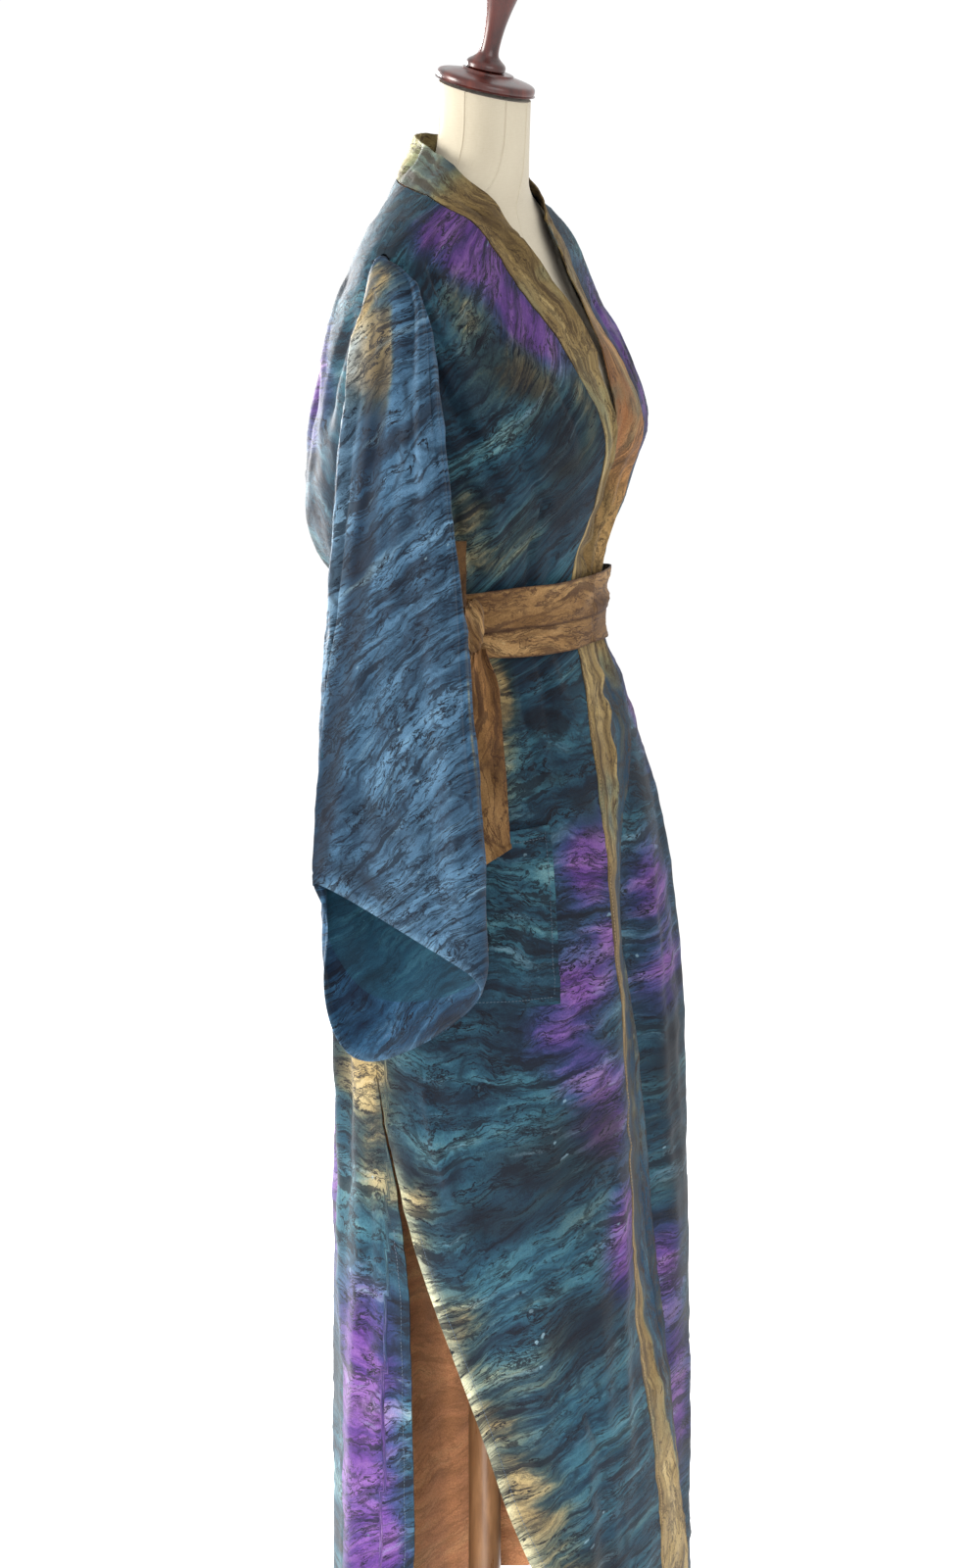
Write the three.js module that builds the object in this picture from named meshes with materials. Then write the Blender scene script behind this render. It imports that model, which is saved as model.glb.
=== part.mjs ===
// A long kimono duster (an open robe with wide hanging sleeves, one band round
// the neck and down both fronts, patch pockets and a twice wrapped tie belt),
// worn by a limbless dress form on a round wooden foot.
//
// Units are millimetres, +Z is up, the form faces -Y and its right is -X.
// The cloth is one body surface: rings round the figure, told apart by height.
// A point on it is an angle, 0 at the centre front and 90 degrees at the
// wearer's right side, and a height. Every panel is a patch of that surface
// with a wall to each side of it; layers that lie on one another are the same
// surface moved in or out.

import * as THREE from 'three';

// ---------------------------------------------------------------- cloth sizes
const WALL = 2;                  // thickness of the cloth
const SEAM = 0.3;                // gap that parts two pieces at a seam
const LAYER = 0.9;               // clear air between a layer and what it lies on
const UNDERLAP = 4.6;            // how far the left front lies below the right
const HEM_Z = 70;
const NECK_POINT_Z = 1500;       // shoulder seam meets the band here
const NAPE_RISE = 12;            // the back neck seam is this much higher
const STAND_CLEAR = 1.3;         // the turned up band starts this far off its seam

// Rings of the body surface: half width to each side, depth to the front and
// to the back of the ring's centre, and the centre's own Y.
const BODY_RINGS = [
  { z: 70, half: 246, front: 154, back: 156, y: -34 },
  { z: 175, half: 242, front: 157, back: 155, y: -33 },
  { z: 350, half: 232, front: 160, back: 156, y: -31 },
  { z: 545, half: 220, front: 161, back: 156, y: -28 },
  { z: 720, half: 208, front: 159, back: 154, y: -21 },
  { z: 840, half: 196, front: 156, back: 150, y: -14 },
  { z: 960, half: 174, front: 143, back: 134, y: -6 },
  { z: 1040, half: 148, front: 125, back: 119, y: 0 },
  { z: 1080, half: 134, front: 110, back: 112, y: 2 },
  { z: 1115, half: 133, front: 108, back: 112, y: 3 },
  { z: 1132, half: 138, front: 106, back: 122, y: 2 },
  { z: 1150, half: 147, front: 108, back: 148, y: 2 },
  { z: 1178, half: 160, front: 114, back: 162, y: 1 },
  { z: 1230, half: 170, front: 133, back: 164, y: 0 },
  { z: 1285, half: 178, front: 148, back: 156, y: 0 },
  { z: 1340, half: 184, front: 123, back: 143, y: 0 },
  { z: 1380, half: 192, front: 92, back: 128, y: 1 },
  { z: 1420, half: 194, front: 64, back: 106, y: 3 },
  { z: 1450, half: 189, front: 46, back: 86, y: 6 },
  { z: 1473, half: 159, front: 39, back: 75, y: 9 },
  { z: 1496, half: 112, front: 40, back: 70, y: 13 },
  { z: 1516, half: 76, front: 43, back: 62, y: 17 },
];

// Soft folds: a ridge (rise above zero) or a trough at an angle, `span` degrees
// to each side. It grows from nothing at `fades` to its full rise at `full`
// and ends again at `dies`, over a height of `tail`.
const FOLDS = [
  { at: 32, span: 13, rise: 10, fades: 900, full: 160, dies: 0, tail: 60 },
  { at: 62, span: 15, rise: -11, fades: 820, full: 120, dies: 0, tail: 60 },
  { at: 112, span: 14, rise: 13, fades: 860, full: 140, dies: 0, tail: 60 },
  { at: 140, span: 16, rise: -14, fades: 930, full: 110, dies: 0, tail: 60 },
  { at: 166, span: 14, rise: 16, fades: 880, full: 180, dies: 0, tail: 60 },
  { at: 196, span: 17, rise: -14, fades: 960, full: 120, dies: 0, tail: 60 },
  { at: 226, span: 13, rise: 14, fades: 820, full: 150, dies: 0, tail: 60 },
  { at: 254, span: 15, rise: -11, fades: 870, full: 110, dies: 0, tail: 60 },
  { at: 306, span: 14, rise: 12, fades: 900, full: 140, dies: 0, tail: 60 },
  { at: 334, span: 12, rise: -3, fades: 760, full: 130, dies: 0, tail: 60 },
  { at: 150, span: 13, rise: 6, fades: 1400, full: 1230, dies: 1160, tail: 60 },
  { at: 181, span: 14, rise: -5, fades: 1420, full: 1240, dies: 1160, tail: 60 },
  { at: 212, span: 13, rise: 6, fades: 1390, full: 1230, dies: 1160, tail: 60 },
  { at: 5, span: 16, rise: -20, fades: 980, full: 800, dies: 290, tail: 240 },
  { at: 2, span: 9, rise: -4, fades: 1310, full: 1240, dies: 1120, tail: 60 },
];

// Edges on the body surface, as angles: the seam and the free edge of the band
// on the right front and on the left front, and at the wearer's right side the
// rear edge of the front and the edge of the back, apart below the slit's top.
const EDGES = [
  { z: 70, rightSeam: -2, rightFree: -19, leftSeam: -37, leftFree: -19, front: 36, back: 87 },
  { z: 165, rightSeam: 0, rightFree: -17, leftSeam: -26, leftFree: -9, front: 43, back: 88 },
  { z: 225, rightSeam: 2, rightFree: -12, leftSeam: -19, leftFree: -3, front: 50, back: 88 },
  { z: 285, rightSeam: 5, rightFree: -7, leftSeam: -12, leftFree: 3, front: 58, back: 88 },
  { z: 345, rightSeam: 8, rightFree: -4, leftSeam: -8, leftFree: 6, front: 65, back: 89 },
  { z: 435, rightSeam: 11, rightFree: 0, leftSeam: -4, leftFree: 10, front: 76, back: 90 },
  { z: 510, rightSeam: 13, rightFree: 2, leftSeam: -2, leftFree: 12, front: 86, back: 92 },
  { z: 570, rightSeam: 14, rightFree: 3, leftSeam: -1, leftFree: 13, front: 93, back: 95 },
  { z: 640, rightSeam: 14.5, rightFree: 3.5, leftSeam: 0, leftFree: 14, front: 100, back: 101 },
  { z: 710, rightSeam: 15, rightFree: 4, leftSeam: 1, leftFree: 15, front: 104, back: 104 },
  { z: 810, rightSeam: 20, rightFree: 9, leftSeam: 5, leftFree: 19, front: 100, back: 100 },
  { z: 920, rightSeam: 19, rightFree: 8, leftSeam: 3, leftFree: 17, front: 93, back: 93 },
  { z: 1000, rightSeam: 18, rightFree: 4, leftSeam: -12, leftFree: 5, front: 90, back: 90 },
  { z: 1080, rightSeam: 11, rightFree: -4, leftSeam: -19, leftFree: 1, front: 90, back: 90 },
  { z: 1150, rightSeam: 12, rightFree: 2, leftSeam: -15, leftFree: 6, front: 90, back: 90 },
  { z: 1200, rightSeam: 10, rightFree: 2, leftSeam: -14, leftFree: 6, front: 90, back: 90 },
  { z: 1260, rightSeam: 13, rightFree: 6, leftSeam: -13.5, leftFree: 10, front: 90, back: 90 },
  { z: 1310, rightSeam: 17, rightFree: 8, leftSeam: -14, leftFree: 6, front: 90, back: 90 },
  { z: 1345, rightSeam: 18, rightFree: 5, leftSeam: -17, leftFree: -1, front: 90, back: 90 },
  { z: 1380, rightSeam: 16, rightFree: 3, leftSeam: -19, leftFree: -5, front: 92, back: 92 },
  { z: 1420, rightSeam: 18, rightFree: 3, leftSeam: -27, leftFree: -5, front: 94, back: 94 },
  { z: 1450, rightSeam: 20, rightFree: 3, leftSeam: -35, leftFree: -5, front: 94, back: 94 },
  { z: 1475, rightSeam: 32, rightFree: 3, leftSeam: -42, leftFree: -5, front: 92, back: 92 },
  { z: 1490, rightSeam: 58, rightFree: 3, leftSeam: -60, leftFree: -5, front: 90, back: 90 },
  { z: 1500, rightSeam: 86, rightFree: 3, leftSeam: -86, leftFree: -5, front: 90, back: 90 },
];

// Above the bust the band leaves the body surface and turns up round the neck.
// For a seam height, the place of the free edge on each front.
const NECK_FROM = 1340;
const NECK_EDGE = [
  { z: 1340, rightX: -14, rightY: -125, leftX: 4, leftY: -119, up: 1348 },
  { z: 1375, rightX: -14, rightY: -103, leftX: 9, leftY: -98, up: 1387 },
  { z: 1410, rightX: -18, rightY: -75, leftX: 25, leftY: -73, up: 1422 },
  { z: 1430, rightX: -26, rightY: -61, leftX: 40, leftY: -58, up: 1446 },
  { z: 1460, rightX: -32, rightY: -44, leftX: 57, leftY: -42, up: 1467 },
  { z: 1474, rightX: -47, rightY: -37, leftX: 65, leftY: -31, up: 1486 },
  { z: 1487, rightX: -62, rightY: -27, leftX: 69, leftY: -19, up: 1502 },
  { z: 1500, rightX: -68, rightY: 0, leftX: 68, leftY: 0, up: 1526 },
];
// Behind the shoulder seam: the free edge for an angle of the seam.
const NAPE_EDGE = [
  { angle: 90, x: 68, y: 4, up: 1528 },
  { angle: 115, x: 57, y: 28, up: 1539 },
  { angle: 150, x: 33, y: 56, up: 1549 },
  { angle: 180, x: 0, y: 67, up: 1552 },
];

// Armhole: a tall loop round the side line.
const ARMHOLE_MID_Z = 1335;
const ARMHOLE_HALF_HEIGHT = 115;
const ARMHOLE_HALF_ANGLE = 13;
const ARM_STEPS = 20;            // points round the armhole and the sleeve

// Rows of a table as objects keyed by the names of its columns.
function ringTable(names, ...rows) {
  return rows.map((row) => Object.fromEntries(row.map((value, i) => [names[i], value])));
}

// The right sleeve, one row a ring from the shoulder to the mouth: place of
// its outer and inner layer, its front and back edge, where the outer ridge
// runs, and how steeply the outer and the inner lip rise towards the back.
const SLEEVE_RINGS = ringTable(
  ['outX', 'outZ', 'inX', 'inZ', 'frontY', 'backY', 'ridgeY', 'outSlope', 'inSlope'],
  [212, 1432, 190, 1206, -50, 38, -12, 0, 0],
  [222, 1395, 199, 1170, -58, 42, -20, 0, 0],
  [232, 1325, 203, 1110, -68, 44, -17, 0, 0],
  [241, 1240, 204, 1040, -82, 48, -12, 0, 0],
  [249, 1150, 205, 980, -90, 51, -1, 0, 0],
  [255, 1060, 207, 912, -98, 54, 16, 0.05, 0],
  [258, 980, 211, 850, -106, 51, 28, 0.13, 0],
  [259, 925, 217, 800, -111, 48, 34, 0.22, -0.05],
  [260, 888, 226, 766, -114, 45, 36, 0.29, -0.18],
  [261, 866, 240, 742, -115, 43, 37, 0.33, -0.36],
  [262, 852, 254, 729, -115, 42, 37, 0.355, -0.5],
);
const SLEEVE_PIVOT_Y = -35;      // the lips' slopes turn about this line
const LEFT_SLEEVE_BACK = 85;     // the left sleeve hangs this much further back

// Patch pocket on each front, as angles and heights.
const POCKET = { front: 41, rear: 84, bottom: 760, top: 925, topRise: 12 };

// Belt: one strip, wrapped twice and tied at the wearer's right.
const BELT = { width: 38, lowerZ: 1085, upperZ: 1113, rise: 12, tieAngle: 60, clear: 4 };
const KNOT = { width: 30, height: 52, depth: 24, clear: 11 };
const BELT_ENDS = [
  { name: 'belt_end_front', angle: 63, sweep: -4, lift: 7, top: 1071, bottom: 884, width: 36 },
  { name: 'belt_end_back', angle: 69, sweep: -2, lift: 3, top: 1071, bottom: 793, width: 36 },
];
const BELT_LOOP = { angle: 69, z: 1162, deep: 16, tall: 56, width: 24, clear: 12 };

// ----------------------------------------------------------------- form sizes
// `peak` above 1 draws a ring in between its axes, as round the shoulders.
const FORM_RINGS = [
  { z: 770, half: 160, front: 112, back: 122, y: -4, peak: 1 },
  { z: 820, half: 168, front: 120, back: 130, y: -4, peak: 1 },
  { z: 890, half: 163, front: 118, back: 126, y: -2, peak: 1 },
  { z: 960, half: 148, front: 108, back: 112, y: 0, peak: 1 },
  { z: 1030, half: 130, front: 100, back: 100, y: 2, peak: 1 },
  { z: 1100, half: 121, front: 96, back: 98, y: 3, peak: 1 },
  { z: 1160, half: 132, front: 99, back: 110, y: 2, peak: 1 },
  { z: 1230, half: 152, front: 117, back: 122, y: 0, peak: 1 },
  { z: 1285, half: 162, front: 132, back: 124, y: 0, peak: 1 },
  { z: 1340, half: 168, front: 112, back: 120, y: 0, peak: 1.1 },
  { z: 1380, half: 174, front: 86, back: 110, y: 1, peak: 1.2 },
  { z: 1415, half: 172, front: 64, back: 96, y: 3, peak: 1.3 },
  { z: 1440, half: 166, front: 54, back: 82, y: 6, peak: 1.35 },
  { z: 1460, half: 157, front: 46, back: 72, y: 8, peak: 1.35 },
  { z: 1474, half: 147, front: 43, back: 66, y: 9, peak: 1.35 },
  { z: 1485, half: 127, front: 43, back: 62, y: 11, peak: 1.35 },
  { z: 1494, half: 106, front: 46, back: 58, y: 12, peak: 1.3 },
  { z: 1504, half: 80, front: 45, back: 52, y: 9, peak: 1.2 },
  { z: 1518, half: 60, front: 43, back: 47, y: 4, peak: 1.1 },
  { z: 1545, half: 46, front: 42, back: 43, y: 1, peak: 1 },
  { z: 1592, half: 43, front: 43, back: 43, y: 0, peak: 1 },
];
const NECK_BEND_Z = 1530;        // above this the neck shears to its slanted top
const CAP_TILT = THREE.MathUtils.degToRad(14);
const CAP = { radius: 47, thick: 15, dome: 5, gap: 0.4, z: 1596 };
const FINIAL_PROFILE = [
  [0, 0], [17, 0], [19, 4], [16, 9], [10, 14], [9, 24], [11, 44],
  [15, 66], [19, 84], [18, 98], [12, 107], [0, 111],
];
const POLE = { radius: 16, bottom: 27.4, top: 769.6 };
const FOOT = { radius: 190, thick: 27, round: 9 };

// ------------------------------------------------------------------ materials
const paint = (color, roughness) => new THREE.MeshStandardMaterial({
  color, roughness, metalness: 0,
});
const TEAL = 0x2c5a72;
const BLUE = 0x3b6a8c;
const OLIVE = 0x968258;
const RUST = 0x8c6a44;
const CREAM = 0xe1d2b9;
const MAHOGANY = 0x55281f;

// -------------------------------------------------------------------- helpers
const rad = THREE.MathUtils.degToRad;
const lerp = THREE.MathUtils.lerp;
const smooth = (x) => THREE.MathUtils.smoothstep(x, 0, 1);

// Value of a column at a height, through the rows by a cubic curve.
function along(rows, key, column, at) {
  const last = rows.length - 1;
  const x = THREE.MathUtils.clamp(at, rows[0][key], rows[last][key]);
  let i = 0;
  while (i < last - 1 && x > rows[i + 1][key]) i += 1;
  const slope = (k) => {
    const a = rows[Math.max(k - 1, 0)];
    const b = rows[Math.min(k + 1, last)];
    return (b[column] - a[column]) / (b[key] - a[key]);
  };
  const step = rows[i + 1][key] - rows[i][key];
  const t = (x - rows[i][key]) / step;
  const t2 = t * t;
  const t3 = t2 * t;
  return (2 * t3 - 3 * t2 + 1) * rows[i][column] + (t3 - 2 * t2 + t) * step * slope(i)
    + (3 * t2 - 2 * t3) * rows[i + 1][column] + (t3 - t2) * step * slope(i + 1);
}

// How far the folds move the surface out, at an angle in degrees.
function foldRise(angle, z) {
  let rise = 0;
  for (const fold of FOLDS) {
    const turn = THREE.MathUtils.euclideanModulo(angle - fold.at + 180, 360) - 180;
    const near = Math.max(0, 1 - Math.abs(turn) / fold.span);
    const grown = smooth((fold.fades - z) / (fold.fades - fold.full));
    rise += fold.rise * smooth(near) * grown * smooth((z - fold.dies) / fold.tail);
  }
  return rise;
}

function ringPoint(rings, angle, z, out) {
  const a = rad(angle);
  const depth = Math.cos(a) > 0 ? 'front' : 'back';
  const peak = rings[0].peak ? along(rings, 'z', 'peak', z) : 1;
  const bent = (x) => Math.sign(x) * Math.abs(x) ** peak;
  return new THREE.Vector3(
    -(along(rings, 'z', 'half', z) + out) * bent(Math.sin(a)),
    along(rings, 'z', 'y', z) - (along(rings, 'z', depth, z) + out) * bent(Math.cos(a)),
    z,
  );
}

// The cloth surface, and the same point moved `out` along its normal.
const bodyPoint = (angle, z) => ringPoint(BODY_RINGS, angle, z, foldRise(angle, z));
function clothPoint(angle, z, out) {
  const probe = 1;
  const across = bodyPoint(angle + probe, z).sub(bodyPoint(angle - probe, z));
  const up = bodyPoint(angle, z + probe).sub(bodyPoint(angle, z - probe));
  const normal = up.cross(across).normalize();
  return bodyPoint(angle, z).addScaledVector(normal, out);
}

// A closed solid from two facing grids of points, outer and inner. `round`
// closes the grid on itself across; the other edges get a rim.
function solidFromGrids(outer, inner, round) {
  const rows = outer.length;
  const columns = outer[0].length;
  const points = [...outer.flat(), ...inner.flat()];
  const back = rows * columns;
  const faces = [];
  const quad = (a, b, c, d) => faces.push(a, b, c, a, c, d);
  const at = (i, j) => i * columns + (j % columns);
  const lastColumn = round ? columns : columns - 1;
  for (let i = 0; i < rows - 1; i += 1) {
    for (let j = 0; j < lastColumn; j += 1) {
      quad(at(i, j), at(i, j + 1), at(i + 1, j + 1), at(i + 1, j));
      quad(back + at(i, j), back + at(i + 1, j), back + at(i + 1, j + 1), back + at(i, j + 1));
    }
  }
  for (let j = 0; j < lastColumn; j += 1) {
    quad(at(0, j + 1), at(0, j), back + at(0, j), back + at(0, j + 1));
    const top = rows - 1;
    quad(at(top, j), at(top, j + 1), back + at(top, j + 1), back + at(top, j));
  }
  if (!round) {
    for (let i = 0; i < rows - 1; i += 1) {
      const side = columns - 1;
      quad(at(i, 0), at(i + 1, 0), back + at(i + 1, 0), back + at(i, 0));
      quad(at(i + 1, side), at(i, side), back + at(i, side), back + at(i + 1, side));
    }
  }
  return geometryFrom(points, faces);
}

function geometryFrom(points, faces) {
  const geometry = new THREE.BufferGeometry();
  geometry.setAttribute('position', new THREE.Float32BufferAttribute(
    points.flatMap((p) => [p.x, p.y, p.z]), 3,
  ));
  geometry.setIndex(signedVolume(points, faces) > 0 ? faces : faces.slice().reverse());
  geometry.computeVertexNormals();
  return geometry;
}

function signedVolume(points, faces) {
  let volume = 0;
  for (let i = 0; i < faces.length; i += 3) {
    const [a, b, c] = [points[faces[i]], points[faces[i + 1]], points[faces[i + 2]]];
    volume += a.dot(b.clone().cross(c)) / 6;
  }
  return volume;
}

const range = (count) => Array.from({ length: count + 1 }, (_, i) => i / count);

// A patch of the cloth: for each row a height and the angles of its two edges;
// `out` is the offset of the wall's middle, and `lift` raises a point.
function patch(rows, across, out, lift = () => 0) {
  const face = (side) => rows.map((row) => range(across).map((u) => {
    const angle = lerp(row.from, row.to, u);
    const z = row.z + lift(angle, row.z);
    return clothPoint(angle, z, out(angle, z) + side * WALL / 2);
  }));
  return solidFromGrids(face(1), face(-1), false);
}

// --------------------------------------------------------------------- panels
const edge = (name, z) => along(EDGES, 'z', name, z);
// The angle that a length covers on the body surface at a point.
function degreesOf(length, angle, z) {
  return length / bodyPoint(angle - 0.5, z).distanceTo(bodyPoint(angle + 0.5, z));
}

// Half the armhole's width at a height, as an angle, nothing above and below it.
function armholeAngle(z) {
  const level = (z - ARMHOLE_MID_Z) / ARMHOLE_HALF_HEIGHT;
  return ARMHOLE_HALF_ANGLE * Math.sqrt(Math.max(0, 1 - level * level));
}

const armLevels = range(ARM_STEPS / 2)
  .map((t) => ARMHOLE_MID_Z - ARMHOLE_HALF_HEIGHT * Math.cos(Math.PI * t));
const skirtLevels = [
  HEM_Z, 130, 200, 285, 375, 470, 560, 660, 760, 850, 940, 1015, 1080, 1103, 1122, 1140,
  1165, 1192,
];
const neckLevels = [1466, 1482, 1493, NECK_POINT_Z];
const levels = [...skirtLevels, ...armLevels, ...neckLevels];

// The left front sinks below the right one where the two overlap.
function underlap(angle, z) {
  const reach = (angle - edge('rightFree', z) + 16) / 12;
  return -UNDERLAP * smooth(reach) * smooth((NECK_FROM + 20 - z) / 30);
}
const flush = () => 0;

// A panel's edges stand half a seam's gap back from the seams.
function panelRow(z, from, to) {
  const gap = (angle) => degreesOf(SEAM / 2, angle, z);
  return { z, from: from + gap(from), to: to - gap(to) };
}
const leftSide = (z) => (z < NECK_FROM ? 90 : edge('front', z));
const rightRows = levels.map((z) => (
  panelRow(z, edge('rightSeam', z), edge('front', z) - armholeAngle(z))
));
const leftRows = levels.map((z) => (
  panelRow(z, armholeAngle(z) - leftSide(z), edge('leftSeam', z))
));
const backRows = levels.map((z) => (
  panelRow(z, edge('back', z) + armholeAngle(z), 360 - leftSide(z) - armholeAngle(z))
));
// The back neck seam rises to the nape.
function napeRise(angle) {
  return NAPE_RISE * Math.max(0, Math.sin(rad(angle - 90))) ** 0.8;
}
const napeLift = (angle, z) => (
  napeRise(angle) * smooth((z - 1440) / (NECK_POINT_Z - 1440))
);

// ----------------------------------------------------------------------- band
// The band runs from the hem up the front's edge and round to the centre back:
// rows of points from its seam to its free edge, walled along the grid's normal.
function bandGeometry(side) {
  const name = side > 0 ? 'right' : 'left';
  const out = side > 0 ? flush : underlap;
  const across = 3;
  const rows = levels.map((z) => {
    const bound = edge(`${name}Seam`, z);
    const seam = bound - side * degreesOf(SEAM, bound, z);
    if (z < NECK_FROM) {
      const free = edge(`${name}Free`, z);
      return range(across).map((u) => {
        const angle = lerp(seam, free, u);
        return clothPoint(angle, z, out(angle, z));
      });
    }
    const free = new THREE.Vector3(
      along(NECK_EDGE, 'z', `${name}X`, z),
      along(NECK_EDGE, 'z', `${name}Y`, z),
      along(NECK_EDGE, 'z', 'up', z),
    );
    return standRow(clothPoint(seam, z, out(seam, z)), free, across);
  });
  const napeSteps = 9;
  for (let i = 0; i <= napeSteps; i += 1) {
    const angle = lerp(95, 180 - degreesOf(2 * SEAM, 180, NECK_POINT_Z), i / napeSteps);
    const seam = bodyPoint(angle, NECK_POINT_Z + napeRise(angle));
    const free = new THREE.Vector3(
      -along(NAPE_EDGE, 'angle', 'x', angle),
      along(NAPE_EDGE, 'angle', 'y', angle),
      along(NAPE_EDGE, 'angle', 'up', angle),
    );
    free.x = Math.min(free.x, -2 * SEAM);
    const row = standRow(seam, free, across);
    if (side < 0) row.forEach((point) => { point.x *= -1; });
    rows.push(row);
  }
  return wallOnGrid(rows);
}

function standRow(seam, free, across) {
  const length = seam.distanceTo(free);
  return range(across).map((u) => seam.clone().lerp(free, lerp(STAND_CLEAR / length, 1, u)));
}

function wallOnGrid(grid) {
  const rows = grid.length;
  const columns = grid[0].length;
  const face = (side) => grid.map((row, i) => row.map((point, j) => {
    const up = grid[Math.min(i + 1, rows - 1)][j].clone().sub(grid[Math.max(i - 1, 0)][j]);
    const over = row[Math.min(j + 1, columns - 1)].clone().sub(row[Math.max(j - 1, 0)]);
    return point.clone().addScaledVector(up.cross(over).normalize(), side * WALL / 2);
  }));
  return solidFromGrids(face(1), face(-1), false);
}

// --------------------------------------------------------------------- sleeve
// A point of the sleeve: t from 0 at the armhole to 1 at the mouth, and an
// angle round it, 0 on the outer layer and 90 degrees at the front edge.
const sleeveRings = SLEEVE_RINGS.map((row, i) => ({ ...row, step: i + 2 }));
const SLEEVE_STEPS = SLEEVE_RINGS.length + 1;

function armholePoint(angle, out) {
  const z = ARMHOLE_MID_Z + (ARMHOLE_HALF_HEIGHT - WALL) * Math.cos(angle);
  const side = edge('front', z);
  const rim = side - Math.sign(Math.sin(angle)) * armholeAngle(z);
  const turn = (ARMHOLE_HALF_ANGLE - degreesOf(WALL, rim, z)) * Math.sin(angle);
  const point = bodyPoint(side - turn, z);
  point.x -= out;
  return point;
}

function hangingPoint(angle, step) {
  const value = (column) => along(sleeveRings, 'step', column, step);
  const outer = (1 + Math.cos(angle)) / 2;
  const frontY = value('frontY');
  const backY = value('backY');
  const middle = (frontY + backY) / 2;
  const half = (backY - frontY) / 2;
  const reach = Math.sign(Math.sin(angle)) * Math.abs(Math.sin(angle)) ** 0.8;
  const pull = Math.max(0, Math.cos(angle)) ** 2 * (value('ridgeY') - middle);
  const y = middle - reach * half + pull * (1 - reach * reach);
  const off = y - SLEEVE_PIVOT_Y;
  const rise = value('outSlope') * outer + value('inSlope') * (1 - outer);
  return new THREE.Vector3(
    -lerp(value('inX'), value('outX'), smooth(outer)),
    y,
    lerp(value('inZ'), value('outZ'), outer) + rise * off,
  );
}

function sleeveSurface(angle, step) {
  if (step >= 2) return hangingPoint(angle, step);
  const start = armholePoint(angle, 0);
  const clear = armholePoint(angle, 8);
  if (step <= 1) return start.lerp(clear, step);
  return clear.lerp(hangingPoint(angle, 2), step - 1);
}

function sleeveGeometry(side) {
  const faces = { 1: [], [-1]: [] };
  const probe = 0.02;
  const swing = side < 0 ? LEFT_SLEEVE_BACK : 0;
  const surface = (angle, step) => {
    const point = sleeveSurface(angle, step);
    point.y += swing * smooth((step - 0.8) / 2.4);
    return point;
  };
  const steps = [0, 1, 1.5, ...range(SLEEVE_STEPS - 2).map((t) => 2 + t * (SLEEVE_STEPS - 2))];
  for (const step of steps) {
    for (const face of [1, -1]) {
      faces[face].push(range(ARM_STEPS).slice(0, -1).map((u) => {
        const angle = u * 2 * Math.PI;
        const round = surface(angle + probe, step).sub(surface(angle - probe, step));
        const down = surface(angle, Math.min(step + probe, SLEEVE_STEPS))
          .sub(surface(angle, Math.max(step - probe, 0)));
        const normal = down.cross(round).normalize();
        const point = surface(angle, step).addScaledVector(normal, face * WALL / 2);
        if (side < 0) point.x *= -1;
        return point;
      }));
    }
  }
  return solidFromGrids(faces[1], faces[-1], true);
}

// --------------------------------------------------------------------- pocket
function pocketGeometry(side) {
  const on = WALL + LAYER;
  const rows = range(7).map((v) => ({
    z: lerp(POCKET.bottom, POCKET.top, v),
    from: side > 0 ? POCKET.front : -POCKET.rear,
    to: side > 0 ? POCKET.rear : -POCKET.front,
  }));
  const lift = (angle, z) => {
    const up = (z - POCKET.bottom) / (POCKET.top - POCKET.bottom);
    const rear = (Math.abs(angle) - POCKET.front) / (POCKET.rear - POCKET.front);
    return -POCKET.topRise * up * rear;
  };
  return patch(rows, 10, () => on, lift);
}

// ----------------------------------------------------------------------- belt
function wrapGeometry(middleZ, out) {
  const around = 36;
  const face = (side) => range(2).map((v) => range(around).slice(0, -1).map((u) => {
    const angle = u * 360;
    const z = middleZ + (v - 0.5) * BELT.width + BELT.rise * Math.cos(rad(angle));
    return beltPoint(angle, z, out + side * WALL / 2);
  }));
  return solidFromGrids(face(1), face(-1), true);
}

// The belt spans hollows: it lies on a plain ring, not on the cloth's folds.
function beltPoint(angle, z, out) {
  return ringPoint(BODY_RINGS, angle, z, out);
}

function beltEndGeometry(end) {
  const rows = range(10).map((v) => {
    const z = lerp(end.bottom, end.top, v);
    const half = THREE.MathUtils.radToDeg(end.width / 2 / 165);
    const middle = end.angle + end.sweep * (1 - v);
    const pinch = lerp(1, 0.45, smooth((v - 0.8) / 0.2));
    return { z, from: middle - half * pinch, to: middle + half * pinch };
  });
  return patch(rows, 3, () => 2 * WALL + 3 * LAYER + end.lift);
}

function knotGeometry() {
  const geometry = new THREE.SphereGeometry(0.5, 12, 8);
  const outward = clothPoint(BELT.tieAngle, BELT.upperZ, 1)
    .sub(clothPoint(BELT.tieAngle, BELT.upperZ, 0)).setZ(0).normalize();
  const place = ringPoint(BODY_RINGS, BELT.tieAngle, BELT.upperZ - 12, KNOT.clear + KNOT.depth / 2);
  geometry.scale(KNOT.depth, KNOT.width, KNOT.height);
  geometry.rotateZ(Math.atan2(outward.y, outward.x));
  geometry.translate(place.x, place.y, place.z);
  return geometry;
}

// The bow's loop: an upright oval of the strip that stands on the knot.
function loopGeometry() {
  const reach = degreesOf(BELT_LOOP.width / 2, BELT_LOOP.angle, BELT_LOOP.z);
  const face = (side) => [-reach, reach].map((across) => range(16).slice(0, -1).map((u) => {
    const turn = u * 2 * Math.PI;
    const z = BELT_LOOP.z + Math.sin(turn) * (BELT_LOOP.tall + side * WALL) / 2;
    const deep = (1 + Math.cos(turn)) * BELT_LOOP.deep / 2 + Math.cos(turn) * side * WALL / 2;
    return ringPoint(BODY_RINGS, BELT_LOOP.angle + across, z, BELT_LOOP.clear + deep);
  }));
  return solidFromGrids(face(1), face(-1), true);
}

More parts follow.
